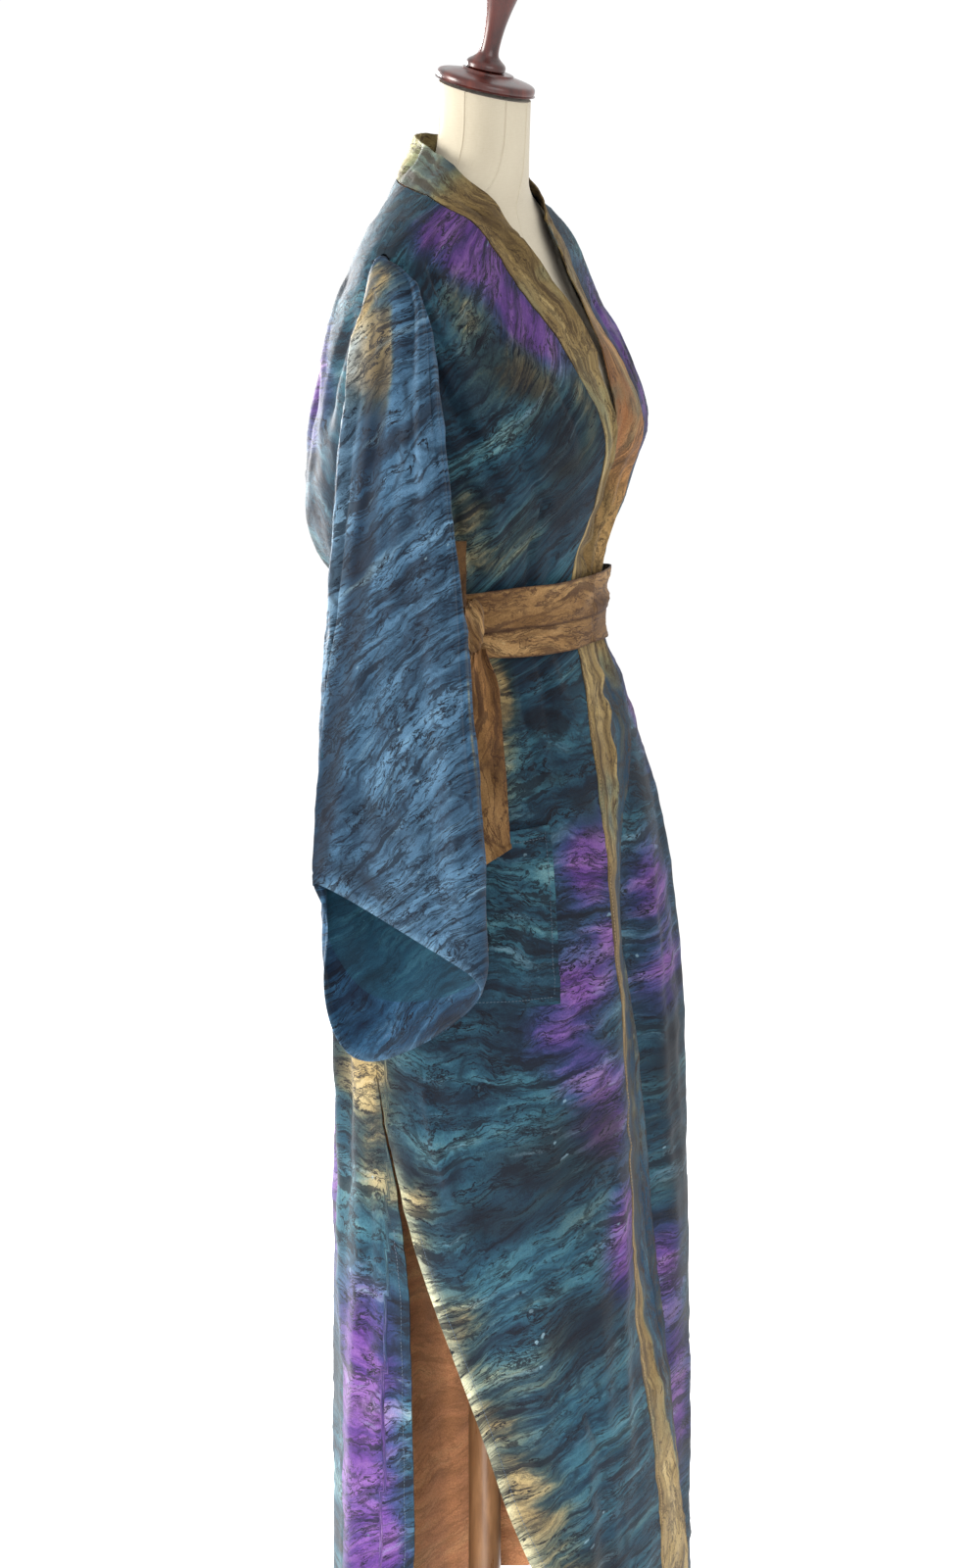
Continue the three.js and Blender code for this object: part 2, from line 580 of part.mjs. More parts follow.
// ----------------------------------------------------------------------- form
// A closed loft of rings with a flat bottom; the neck's top is slanted so that
// the cap faces up and a little forward.
function formGeometry() {
  const around = 28;
  const heights = [
    770, 820, 870, 925, 980, 1040, 1100, 1160, 1215, 1260, 1295, 1330, 1360, 1388, 1415,
    1438, 1456, 1470, 1480, 1489, 1497, 1506, 1520, 1545, 1592,
  ];
  const points = [];
  for (const z of heights) {
    for (let j = 0; j < around; j += 1) {
      const p = ringPoint(FORM_RINGS, j * 360 / around, z, 0);
      const bend = Math.max(0, (z - NECK_BEND_Z) / (1592 - NECK_BEND_Z));
      p.z += bend * p.y * Math.tan(CAP_TILT);
      points.push(p);
    }
  }
  const bottom = points.push(new THREE.Vector3(0, 0, heights[0])) - 1;
  const top = points.push(new THREE.Vector3(0, 0, 1592)) - 1;
  const faces = [];
  for (let i = 0; i < heights.length - 1; i += 1) {
    for (let j = 0; j < around; j += 1) {
      const next = (j + 1) % around;
      const [a, b] = [i * around + j, i * around + next];
      faces.push(a, b, b + around, a, b + around, a + around);
    }
  }
  const rim = (heights.length - 1) * around;
  for (let j = 0; j < around; j += 1) {
    const next = (j + 1) % around;
    faces.push(bottom, next, j);
    faces.push(top, rim + j, rim + next);
  }
  return geometryFrom(points, faces);
}

function lathe(profile, segments) {
  const outline = profile.map(([r, z]) => new THREE.Vector2(r, z));
  const points = [];
  const faces = [];
  const index = outline.map((p) => {
    if (p.x === 0) {
      points.push(new THREE.Vector3(0, 0, p.y));
      return [points.length - 1];
    }
    return range(segments).slice(0, -1).map((u) => {
      const turn = u * 2 * Math.PI;
      points.push(new THREE.Vector3(p.x * Math.cos(turn), p.x * Math.sin(turn), p.y));
      return points.length - 1;
    });
  });
  for (let i = 0; i < index.length - 1; i += 1) {
    for (let j = 0; j < segments; j += 1) {
      const pick = (row, k) => row[row.length === 1 ? 0 : k % segments];
      const [a, b] = [pick(index[i], j), pick(index[i], j + 1)];
      const [c, d] = [pick(index[i + 1], j + 1), pick(index[i + 1], j)];
      if (a !== b) faces.push(a, b, c);
      if (c !== d) faces.push(a, c, d);
    }
  }
  return geometryFrom(points, faces);
}

// Turned parts above the neck share its slanted axis.
function tilted(geometry, above) {
  geometry.translate(0, 0, above);
  geometry.rotateX(CAP_TILT);
  geometry.translate(0, 0, CAP.z);
  return geometry;
}

const capProfile = [
  [0, 0], [CAP.radius - 1.5, 0], [CAP.radius, 2], [CAP.radius, CAP.thick - CAP.dome - 3],
  [CAP.radius - 3, CAP.thick - CAP.dome], [CAP.radius * 0.62, CAP.thick - 1.4],
  [CAP.radius * 0.3, CAP.thick], [0, CAP.thick],
];
const footProfile = [
  [0, 0], [FOOT.radius - FOOT.round, 0], [FOOT.radius, FOOT.round * 0.7],
  [FOOT.radius, FOOT.thick - FOOT.round], [FOOT.radius - 3, FOOT.thick - 3],
  [FOOT.radius - FOOT.round, FOOT.thick], [0, FOOT.thick],
];
const poleProfile = [
  [0, POLE.bottom], [POLE.radius, POLE.bottom], [POLE.radius, POLE.top], [0, POLE.top],
];

// ------------------------------------------------------------------- assembly
const robe = new THREE.Group();
robe.name = 'kimono_duster_on_form';

function add(name, geometry, material) {
  const mesh = new THREE.Mesh(geometry, material);
  mesh.name = name;
  robe.add(mesh);
}

add('foot', lathe(footProfile, 36), paint(MAHOGANY, 0.35));
add('pole', lathe(poleProfile, 16), paint(MAHOGANY, 0.35));
add('form_torso', formGeometry(), paint(CREAM, 0.85));
add('neck_cap', tilted(lathe(capProfile, 28), CAP.gap), paint(MAHOGANY, 0.3));
add('finial', tilted(lathe(FINIAL_PROFILE, 16), CAP.thick + 2 * CAP.gap), paint(MAHOGANY, 0.3));

add('back_panel', patch(backRows, 20, flush, napeLift), paint(TEAL, 0.8));
add('front_right', patch(rightRows, 9, flush), paint(TEAL, 0.8));
add('front_left', patch(leftRows, 10, underlap), paint(BLUE, 0.8));
add('band_right', bandGeometry(1), paint(OLIVE, 0.8));
add('band_left', bandGeometry(-1), paint(OLIVE, 0.8));
add('sleeve_right', sleeveGeometry(1), paint(BLUE, 0.8));
add('sleeve_left', sleeveGeometry(-1), paint(BLUE, 0.8));
add('pocket_right', pocketGeometry(1), paint(TEAL, 0.8));
add('pocket_left', pocketGeometry(-1), paint(TEAL, 0.8));
add('belt_lower_wrap', wrapGeometry(BELT.lowerZ, BELT.clear), paint(RUST, 0.8));
add('belt_upper_wrap', wrapGeometry(BELT.upperZ, 2 * BELT.clear), paint(RUST, 0.8));
add('belt_knot', knotGeometry(), paint(RUST, 0.8));
add('belt_loop', loopGeometry(), paint(RUST, 0.8));
for (const end of BELT_ENDS) add(end.name, beltEndGeometry(end), paint(RUST, 0.8));

export default robe;
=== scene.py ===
"""A kimono duster in hand dyed cotton on a limbless dress form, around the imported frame."""
import math

import bpy
import numpy as np
from mathutils import Matrix, Vector


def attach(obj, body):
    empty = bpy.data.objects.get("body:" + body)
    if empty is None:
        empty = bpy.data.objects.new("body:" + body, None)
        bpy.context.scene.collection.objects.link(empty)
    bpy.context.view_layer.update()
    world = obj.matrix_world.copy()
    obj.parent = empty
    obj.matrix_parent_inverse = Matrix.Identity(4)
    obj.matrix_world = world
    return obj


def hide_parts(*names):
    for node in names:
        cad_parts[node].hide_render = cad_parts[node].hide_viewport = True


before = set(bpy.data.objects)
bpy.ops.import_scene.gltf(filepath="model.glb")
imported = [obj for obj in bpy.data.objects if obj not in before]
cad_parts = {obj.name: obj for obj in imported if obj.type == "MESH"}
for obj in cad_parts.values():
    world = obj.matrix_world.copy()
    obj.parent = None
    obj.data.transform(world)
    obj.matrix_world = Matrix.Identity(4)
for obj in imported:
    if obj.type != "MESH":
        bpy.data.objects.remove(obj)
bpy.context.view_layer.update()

# Lengths are in metres, angles round the body in degrees: 0 at the centre
# front (-Y), 90 at the wearer's right side (-X), 180 at the centre back.


def table(names, *rows):
    """A table with named columns, as arrays."""
    values = np.array(rows, float)
    return {name: values[:, i] for i, name in enumerate(names.split())}


# ------------------------------------------------------------------ the camera
VIEW_AZIMUTH = -65.0
CAMERA_AWAY = 4.2                # from the form's axis, in plan
CAMERA_Z = 1.69
CAMERA_PITCH = -10.2
FOCAL_PIXELS = 4537.0            # in a frame 1600 pixels tall
FRAME_TALL = 1600.0
SENSOR = 36.0
AXIS_SHIFT = 0.0037              # the form stands this far right of the middle

# ------------------------------------------------------------- the body's cloth
WALL = 0.0012                    # thickness of the cloth that shows
UNDERLAP = 0.0046                # the left front lies this far below the right
HEM_Z = 0.070
NECK_POINT_Z = 1.500
NAPE_RISE = 0.012
NECK_FROM = 1.340                # above this the band turns up round the neck

BODY_RINGS = table(
    "z half front back y",
    (0.070, 0.246, 0.154, 0.156, -0.034),
    (0.175, 0.242, 0.157, 0.155, -0.033),
    (0.350, 0.232, 0.160, 0.156, -0.031),
    (0.545, 0.220, 0.161, 0.156, -0.028),
    (0.720, 0.208, 0.159, 0.154, -0.021),
    (0.840, 0.196, 0.156, 0.150, -0.014),
    (0.960, 0.174, 0.143, 0.134, -0.006),
    (1.040, 0.148, 0.125, 0.119, 0.000),
    (1.080, 0.134, 0.110, 0.112, 0.002),
    (1.115, 0.133, 0.108, 0.112, 0.003),
    (1.132, 0.138, 0.106, 0.122, 0.002),
    (1.150, 0.147, 0.108, 0.148, 0.002),
    (1.178, 0.160, 0.114, 0.162, 0.001),
    (1.230, 0.170, 0.133, 0.164, 0.000),
    (1.285, 0.178, 0.148, 0.156, 0.000),
    (1.340, 0.184, 0.123, 0.143, 0.000),
    (1.380, 0.192, 0.092, 0.128, 0.001),
    (1.420, 0.194, 0.064, 0.106, 0.003),
    (1.450, 0.189, 0.046, 0.086, 0.006),
    (1.473, 0.159, 0.039, 0.075, 0.009),
    (1.496, 0.112, 0.040, 0.070, 0.013),
    (1.516, 0.076, 0.043, 0.062, 0.017),
)

# Soft folds that the solids have too. One grows from `fades` down to `full`
# and ends at `dies`, over a height of `tail`.
FOLDS = table(
    "at span rise fades full dies tail",
    (32, 13, 0.010, 0.900, 0.160, 0.000, 0.060),
    (62, 15, -0.011, 0.820, 0.120, 0.000, 0.060),
    (112, 14, 0.013, 0.860, 0.140, 0.000, 0.060),
    (140, 16, -0.014, 0.930, 0.110, 0.000, 0.060),
    (166, 14, 0.016, 0.880, 0.180, 0.000, 0.060),
    (196, 17, -0.014, 0.960, 0.120, 0.000, 0.060),
    (226, 13, 0.014, 0.820, 0.150, 0.000, 0.060),
    (254, 15, -0.011, 0.870, 0.110, 0.000, 0.060),
    (306, 14, 0.012, 0.900, 0.140, 0.000, 0.060),
    (334, 12, -0.003, 0.760, 0.130, 0.000, 0.060),
    (150, 13, 0.006, 1.400, 1.230, 1.160, 0.060),
    (181, 14, -0.005, 1.420, 1.240, 1.160, 0.060),
    (212, 13, 0.006, 1.390, 1.230, 1.160, 0.060),
    (5, 16, -0.020, 0.980, 0.800, 0.290, 0.240),
    (2, 9, -0.004, 1.310, 1.240, 1.120, 0.060),
)

# Edges on the body surface, as angles at a height.
EDGES = table(
    "z right_seam right_free left_seam left_free front back",
    (0.070, -2, -19, -37, -19, 36, 87),
    (0.165, 0, -17, -26, -9, 43, 88),
    (0.225, 2, -12, -19, -3, 50, 88),
    (0.285, 5, -7, -12, 3, 58, 88),
    (0.345, 8, -4, -8, 6, 65, 89),
    (0.435, 11, 0, -4, 10, 76, 90),
    (0.510, 13, 2, -2, 12, 86, 92),
    (0.570, 14, 3, -1, 13, 93, 95),
    (0.640, 14.5, 3.5, 0, 14, 100, 101),
    (0.710, 15, 4, 1, 15, 104, 104),
    (0.810, 20, 9, 5, 19, 100, 100),
    (0.920, 19, 8, 3, 17, 93, 93),
    (1.000, 18, 4, -12, 5, 90, 90),
    (1.080, 11, -4, -19, 1, 90, 90),
    (1.150, 12, 2, -15, 6, 90, 90),
    (1.200, 10, 2, -14, 6, 90, 90),
    (1.260, 13, 6, -13.5, 10, 90, 90),
    (1.310, 17, 8, -14, 6, 90, 90),
    (1.345, 18, 5, -17, -1, 90, 90),
    (1.380, 16, 3, -19, -5, 92, 92),
    (1.420, 18, 3, -27, -5, 94, 94),
    (1.450, 20, 3, -35, -5, 94, 94),
    (1.475, 32, 3, -42, -5, 92, 92),
    (1.490, 58, 3, -60, -5, 90, 90),
    (1.500, 86, 3, -86, -5, 90, 90),
)
NECK_EDGE = table(
    "z right_x right_y left_x left_y up",
    (1.340, -0.014, -0.125, 0.004, -0.119, 1.348),
    (1.375, -0.014, -0.103, 0.009, -0.098, 1.387),
    (1.410, -0.018, -0.075, 0.025, -0.073, 1.422),
    (1.430, -0.026, -0.061, 0.040, -0.058, 1.446),
    (1.460, -0.032, -0.044, 0.057, -0.042, 1.467),
    (1.474, -0.047, -0.037, 0.065, -0.031, 1.486),
    (1.487, -0.062, -0.027, 0.069, -0.019, 1.502),
    (1.500, -0.068, 0.000, 0.068, 0.000, 1.526),
)
NAPE_EDGE = table(
    "angle x y up",
    (90, 0.068, 0.004, 1.528),
    (115, 0.057, 0.028, 1.539),
    (150, 0.033, 0.056, 1.549),
    (180, 0.000, 0.067, 1.552),
)
ARMHOLE_MID_Z = 1.335
ARMHOLE_HALF_HEIGHT = 0.115
ARMHOLE_HALF_ANGLE = 13.0

# ------------------------------------------------------------------ the sleeves
SLEEVE_RINGS = table(
    "out_x out_z in_x in_z front_y back_y ridge_y out_slope in_slope",
    (0.212, 1.432, 0.190, 1.206, -0.050, 0.038, -0.012, 0, 0),
    (0.222, 1.395, 0.199, 1.170, -0.058, 0.042, -0.020, 0, 0),
    (0.232, 1.325, 0.203, 1.110, -0.068, 0.044, -0.017, 0, 0),
    (0.241, 1.240, 0.204, 1.040, -0.082, 0.048, -0.012, 0, 0),
    (0.249, 1.150, 0.205, 0.980, -0.090, 0.051, -0.001, 0, 0),
    (0.255, 1.060, 0.207, 0.912, -0.098, 0.054, 0.016, 0.05, 0),
    (0.258, 0.980, 0.211, 0.850, -0.106, 0.051, 0.028, 0.13, 0),
    (0.259, 0.925, 0.217, 0.800, -0.111, 0.048, 0.034, 0.22, -0.05),
    (0.260, 0.888, 0.226, 0.766, -0.114, 0.045, 0.036, 0.29, -0.18),
    (0.261, 0.866, 0.240, 0.742, -0.115, 0.043, 0.037, 0.33, -0.36),
    (0.262, 0.852, 0.254, 0.729, -0.115, 0.042, 0.037, 0.355, -0.5),
)
SLEEVE_PIVOT_Y = -0.035
LEFT_SLEEVE_BACK = 0.085         # the left sleeve hangs this much further back
SLEEVE_STEPS = len(SLEEVE_RINGS["out_x"]) + 1
SLEEVE_RINGS["step"] = np.arange(2.0, SLEEVE_STEPS + 1)

# ------------------------------------------------------- pockets and the belt
POCKET_FRONT, POCKET_REAR = 41, 84
POCKET_BOTTOM, POCKET_TOP, POCKET_SLANT = 0.760, 0.925, 0.012
BELT_WIDTH, BELT_RISE, BELT_CLEAR = 0.038, 0.012, 0.004
BELT_LOWER_Z, BELT_UPPER_Z = 1.085, 1.113
TIE_ANGLE = 60.0
KNOT_WIDE, KNOT_TALL, KNOT_DEEP, KNOT_CLEAR = 0.030, 0.052, 0.024, 0.011
BELT_ENDS = table(
    "angle sweep lift top bottom width",
    (63, -1, 0.007, 1.084, 0.884, 0.036),
    (71, -1, 0.003, 1.071, 0.793, 0.036),
)
LOOP_ANGLE, LOOP_Z, LOOP_CLEAR = 69, 1.162, 0.012
LOOP_DEEP, LOOP_TALL, LOOP_WIDE = 0.016, 0.056, 0.024

# ---------------------------------------------------------------- the form
FORM_RINGS = table(
    "z half front back y peak",
    (0.770, 0.160, 0.112, 0.122, -0.004, 1),
    (0.820, 0.168, 0.120, 0.130, -0.004, 1),
    (0.890, 0.163, 0.118, 0.126, -0.002, 1),
    (0.960, 0.148, 0.108, 0.112, 0.000, 1),
    (1.030, 0.130, 0.100, 0.100, 0.002, 1),
    (1.100, 0.121, 0.096, 0.098, 0.003, 1),
    (1.160, 0.132, 0.099, 0.110, 0.002, 1),
    (1.230, 0.152, 0.117, 0.122, 0.000, 1),
    (1.285, 0.162, 0.132, 0.124, 0.000, 1),
    (1.340, 0.168, 0.112, 0.120, 0.000, 1.1),
    (1.380, 0.174, 0.086, 0.110, 0.001, 1.2),
    (1.415, 0.172, 0.064, 0.096, 0.003, 1.3),
    (1.440, 0.166, 0.054, 0.082, 0.006, 1.35),
    (1.460, 0.157, 0.046, 0.072, 0.008, 1.35),
    (1.474, 0.147, 0.043, 0.066, 0.009, 1.35),
    (1.485, 0.127, 0.043, 0.062, 0.011, 1.35),
    (1.494, 0.106, 0.046, 0.058, 0.012, 1.3),
    (1.504, 0.080, 0.045, 0.052, 0.009, 1.2),
    (1.518, 0.060, 0.043, 0.047, 0.004, 1.1),
    (1.545, 0.046, 0.042, 0.043, 0.001, 1),
    (1.592, 0.043, 0.043, 0.043, 0.000, 1),
)
NECK_BEND_Z, NECK_TOP_Z = 1.530, 1.592
CAP_TILT = math.radians(14)
CAP_Z, CAP_THICK, CAP_GAP = 1.596, 0.015, 0.0004


# -------------------------------------------------------------- number helpers
def smooth(x):
    x = np.clip(x, 0.0, 1.0)
    return x * x * (3 - 2 * x)


def lerp(a, b, t):
    return a + (b - a) * t


def along(rows, key, column, at):
    """The value of a column where `key` is `at`, on a cubic through the rows."""
    x, y = rows[key], rows[column]
    at = np.clip(at, x[0], x[-1])
    i = np.clip(np.searchsorted(x, at, side="right") - 1, 0, len(x) - 2)
    slope = np.empty_like(y)
    slope[1:-1] = (y[2:] - y[:-2]) / (x[2:] - x[:-2])
    slope[0] = (y[1] - y[0]) / (x[1] - x[0])
    slope[-1] = (y[-1] - y[-2]) / (x[-1] - x[-2])
    step = x[i + 1] - x[i]
    t = (at - x[i]) / step
    return ((2 * t**3 - 3 * t**2 + 1) * y[i] + (t**3 - 2 * t**2 + t) * step * slope[i]
            + (3 * t**2 - 2 * t**3) * y[i + 1] + (t**3 - t**2) * step * slope[i + 1])


NOISE_SIZE = 64
_random = np.random.default_rng(12)
_lattice = _random.uniform(-1, 1, (NOISE_SIZE,) * 3)


def noise(x, y, z):
    """Smooth value noise from -1 to 1 on a lattice of unit steps."""
    cell = [np.floor(c).astype(int) for c in (x, y, z)]
    part = [smooth(c - f) for c, f in zip((x, y, z), cell)]
    total = 0.0
    for i in (0, 1):
        for j in (0, 1):
            for k in (0, 1):
                weight = ((part[0] if i else 1 - part[0]) * (part[1] if j else 1 - part[1])
                          * (part[2] if k else 1 - part[2]))
                total = total + weight * _lattice[(cell[0] + i) % NOISE_SIZE,
                                                  (cell[1] + j) % NOISE_SIZE,
                                                  (cell[2] + k) % NOISE_SIZE]
    return total


def ridges(x, y, z):
    """Sharp crests and wide hollows, as a crushed cloth has, from -1 to 1."""
    return 1 - 2.6 * np.abs(noise(x, y, z)) ** 0.8


def bump_of(distance, width):
    """1 on a line and 0 a `width` from it, softly."""
    return smooth(1 - np.abs(distance) / width)


# ------------------------------------------------------------ the body's surface
def ring_point(rings, angle, z, out=0.0):
    """A point on a body of rings, `out` from it in plan."""
    a = np.radians(angle)
    depth = np.where(np.cos(a) > 0, along(rings, "z", "front", z), along(rings, "z", "back", z))
    peak = along(rings, "z", "peak", z) if "peak" in rings else 1.0
    sine, cosine = (np.sign(f) * np.abs(f) ** peak for f in (np.sin(a), np.cos(a)))
    return np.stack([-(along(rings, "z", "half", z) + out) * sine,
                     along(rings, "z", "y", z) - (depth + out) * cosine,
                     z + 0 * a], -1)


def turn_between(angle, other):
    return (angle - other + 180) % 360 - 180


def fold_rise(angle, z):
    """The large folds' rise over the rings."""
    rise = 0.0
    for at, span, height, fades, full, dies, tail in zip(*FOLDS.values()):
        near = smooth(1 - np.abs(turn_between(angle, at)) / span)
        rise = rise + (height * near * smooth((fades - z) / (fades - full))
                       * smooth((z - dies) / tail))
    return rise


# Gathers that start at the belt: where, how wide and deep, and how far they
# run above and below it. The fullest are at the back, which is pulled in most.
GATHERS = table(
    "at span rise above below",
    (-52, 5.0, -0.0030, 0.09, 0.14),
    (-43, 3.6, 0.0026, 0.06, 0.10),
    (-34, 4.4, -0.0028, 0.11, 0.16),
    (-19, 3.4, 0.0022, 0.05, 0.08),
    (24, 3.0, -0.0026, 0.12, 0.07),
    (30, 3.4, 0.0030, 0.08, 0.11),
    (37, 3.0, -0.0036, 0.13, 0.24),
    (46, 4.2, 0.0030, 0.10, 0.09),
    (53, 3.2, -0.0030, 0.07, 0.13),
    (68, 4.4, 0.0036, 0.09, 0.10),
    (77, 3.8, -0.0036, 0.12, 0.15),
    (88, 4.6, 0.0034, 0.07, 0.09),
    (99, 4.2, -0.0044, 0.11, 0.17),
    (109, 4.8, 0.0044, 0.13, 0.11),
    (120, 3.8, -0.0046, 0.09, 0.14),
    (129, 4.6, 0.0040, 0.14, 0.18),
    (141, 4.2, -0.0050, 0.08, 0.10),
    (151, 5.0, 0.0046, 0.12, 0.15),
    (163, 3.8, -0.0044, 0.15, 0.12),
    (172, 4.4, 0.0042, 0.09, 0.19),
    (184, 5.0, -0.0048, 0.12, 0.13),
    (195, 4.0, 0.0044, 0.10, 0.10),
    (206, 4.6, -0.0044, 0.14, 0.17),
    (218, 4.2, 0.0046, 0.08, 0.12),
    (229, 4.8, -0.0044, 0.12, 0.15),
    (241, 4.0, 0.0040, 0.10, 0.11),
    (252, 4.6, -0.0038, 0.13, 0.16),
    (264, 4.2, 0.0034, 0.08, 0.10),
    (275, 4.8, -0.0034, 0.11, 0.14),
    (287, 4.2, 0.0030, 0.09, 0.12),
)
BELT_MID_Z = 1.098
GATHER_WANDER, GATHER_WIDEN = 2.2, 0.9
GATHER_FROM, GATHER_SOFT = 0.012, 0.02
HELD_HALF, HELD_SOFT = 0.014, 0.03      # the belt holds the cloth flat this far up and down
CRUSH_LEAN = 0.25


def gather_rise(angle, z):
    """The gathers' rise: each widens and fades away from the belt."""
    rise = 0.0
    for at, span, height, above, below in zip(*GATHERS.values()):
        reach = np.where(z > BELT_MID_Z, above, below)
        off = np.abs(z - BELT_MID_Z)
        wander = GATHER_WANDER * noise(np.full_like(z, at * 0.37), z * 14, 0 * z)
        wide = span * (1 + GATHER_WIDEN * off / reach)
        start = smooth((off - GATHER_FROM) / GATHER_SOFT)
        rise = rise + (height * smooth(1 - np.abs(turn_between(angle, at + wander)) / wide)
                       * start * smooth(1 - off / reach))
    return rise


CREASE_END = 0.3                 # the share of a crease's length over which it dies out
CREASE_METRES_A_DEGREE = 0.0029

# Creases: each runs from one point to another on the body, as an
# angle and a height, bowed a little, as a trough (rise below zero) or a ridge.
CREASES = table(
    "a0 z0 a1 z1 bow width rise",
    (60, 1.452, 48, 1.330, 3, 0.012, -0.0034),
    (70, 1.425, 62, 1.300, -3, 0.014, 0.0030),
    (76, 1.395, 58, 1.230, 4, 0.016, -0.0044),
    (66, 1.330, 44, 1.215, 3, 0.012, 0.0034),
    (52, 1.310, 30, 1.200, 4, 0.011, -0.0032),
    (74, 1.290, 50, 1.165, -4, 0.015, 0.0044),
    (40, 1.400, 28, 1.300, 2, 0.011, 0.0024),
    (33, 1.345, 24, 1.240, -2, 0.010, -0.0026),
    (72, 1.235, 56, 1.140, 3, 0.013, -0.0040),
    (34, 1.230, 36, 1.150, 1, 0.006, -0.0030),
    (47, 1.070, 40, 0.935, 1, 0.007, -0.0026),
    (86, 0.700, 72, 0.560, 2, 0.010, 0.0050),
    (52, 0.420, 22, 0.300, -4, 0.012, -0.0034),
    (60, 0.350, 26, 0.240, -4, 0.013, 0.0036),
    (46, 0.250, 16, 0.160, 4, 0.012, -0.0036),
    (70, 0.560, 30, 0.480, 3, 0.012, -0.0030),
    (150, 0.750, 168, 0.450, 4, 0.016, 0.0040),
    (205, 0.800, 190, 0.500, -4, 0.016, -0.0040),
    (235, 0.500, 225, 0.150, 3, 0.016, 0.0040),
    (-30, 1.410, -24, 1.290, 3, 0.012, -0.0028),
    (-44, 1.390, -33, 1.260, -2, 0.014, 0.0034),
    (-62, 1.370, -45, 1.215, 4, 0.016, -0.0040),
    (-70, 1.290, -52, 1.160, -3, 0.014, 0.0040),
    (112, 1.400, 128, 1.270, 5, 0.018, -0.0060),
    (104, 1.330, 122, 1.180, -4, 0.018, 0.0060),
    (128, 1.440, 140, 1.300, 4, 0.015, 0.0040),
    (138, 1.350, 150, 1.200, 3, 0.017, -0.0054),
    (160, 1.450, 166, 1.310, -3, 0.014, -0.0036),
    (172, 1.360, 178, 1.190, 3, 0.017, 0.0050),
    (198, 1.440, 192, 1.290, 3, 0.015, 0.0040),
    (206, 1.340, 200, 1.190, -4, 0.017, -0.0054),
    (226, 1.420, 216, 1.260, 4, 0.015, -0.0040),
    (236, 1.350, 226, 1.190, 3, 0.018, 0.0056),
    (250, 1.390, 238, 1.250, -3, 0.016, -0.0050),
    (56, 0.900, 48, 0.560, 2, 0.020, 0.0034),
    (70, 0.760, 66, 0.380, -3, 0.024, -0.0050),
    (40, 0.700, 30, 0.300, 3, 0.020, -0.0040),
    (24, 0.640, 20, 0.200, -2, 0.016, 0.0036),
    (50, 0.520, 40, 0.140, 3, 0.024, 0.0056),
    (34, 0.420, 26, 0.090, -2, 0.018, -0.0050),
    (-12, 0.900, -14, 0.480, 2, 0.016, -0.0034),
    (-24, 0.980, -28, 0.560, -3, 0.020, 0.0050),
    (-40, 0.860, -42, 0.360, 3, 0.022, -0.0056),
    (-56, 0.960, -60, 0.420, 2, 0.024, 0.0056),
    (-74, 0.820, -76, 0.240, -3, 0.024, -0.0060),
    (-22, 0.420, -30, 0.090, 2, 0.018, 0.0040),
    (118, 0.960, 122, 0.520, 3, 0.022, -0.0060),
    (134, 0.880, 130, 0.340, -4, 0.024, 0.0060),
    (152, 0.980, 156, 0.440, 3, 0.022, -0.0064),
    (176, 0.900, 172, 0.300, -3, 0.024, 0.0060),
    (192, 0.960, 198, 0.500, 3, 0.022, -0.0056),
    (212, 0.860, 208, 0.260, 4, 0.024, 0.0060),
    (236, 0.940, 242, 0.400, -3, 0.022, -0.0056),
    (100, 0.520, 98, 0.120, 2, 0.016, 0.0036),
    (108, 0.640, 112, 0.240, -2, 0.016, -0.0040),
)


def crease_sum(rows, at, level, size, start, wide=(1.0, 0.0)):
    """The rise of a table of creases at a turn and a level.

    `size` turns degrees into the unit of the widths, `start` is the share of the
    length over which a crease grows, and `wide` its width at its start and its gain.
    """
    rise = 0.0
    for a0, l0, a1, l1, bow, width, height in zip(*rows.values()):
        t = (level - l0) / (l1 - l0)
        inside = np.clip(t, 0, 1)
        line = lerp(a0, a1, t) + bow * np.sin(np.pi * inside)
        away = turn_between(at, line) * size
        ends = smooth(t / start) * smooth((1 - t) / CREASE_END)
        rise = rise + height * bump_of(away, width * (wide[0] + wide[1] * inside)) * ends
    return rise


def crease_rise(angle, z):
    return crease_sum(CREASES, angle, z, CREASE_METRES_A_DEGREE, 0.22, (0.6, 0.7))


CRUSH_BIG, CRUSH_SMALL = 0.0011, 0.0005


def crinkle_rise(p, lean):
    """Small crushed ridges that lean as the dye streaks do."""
    across = p[..., 2] - lean
    along_it = p[..., 0] + p[..., 1]
    side = p[..., 0] - p[..., 1]
    big = ridges(along_it * 9, side * 9, across * 26)
    small = ridges(along_it * 24 + 7, side * 24, across * 60)
    return CRUSH_BIG * big + CRUSH_SMALL * small


def body_point(angle, z):
    return ring_point(BODY_RINGS, angle, z, fold_rise(angle, z))


def cloth_point(angle, z, out=0.0, detail=1.0):
    """A point of the draped cloth, moved `out` along the body surface's normal."""
    probe_angle, probe_z = 1.0, 0.002
    over = body_point(angle + probe_angle, z) - body_point(angle - probe_angle, z)
    up = body_point(angle, z + probe_z) - body_point(angle, z - probe_z)
    normal = np.cross(up, over)
    normal /= np.linalg.norm(normal, axis=-1, keepdims=True)
    p = body_point(angle, z)
    rise = gather_rise(angle, z) + crease_rise(angle, z)
    rise = rise + crinkle_rise(p, CRUSH_LEAN * np.abs(p[..., 0]))
    held = smooth((np.abs(z - BELT_MID_Z) - HELD_HALF) / HELD_SOFT)
    return p + normal * (out + detail * held * rise)[..., None]


def edge(name, z):
    return along(EDGES, "z", name, z)


UNDERLAP_FROM, UNDERLAP_SOFT = 16, 12   # degrees round from the right front's free edge
UNDERLAP_TOP, UNDERLAP_FADE = NECK_FROM + 0.02, 0.03


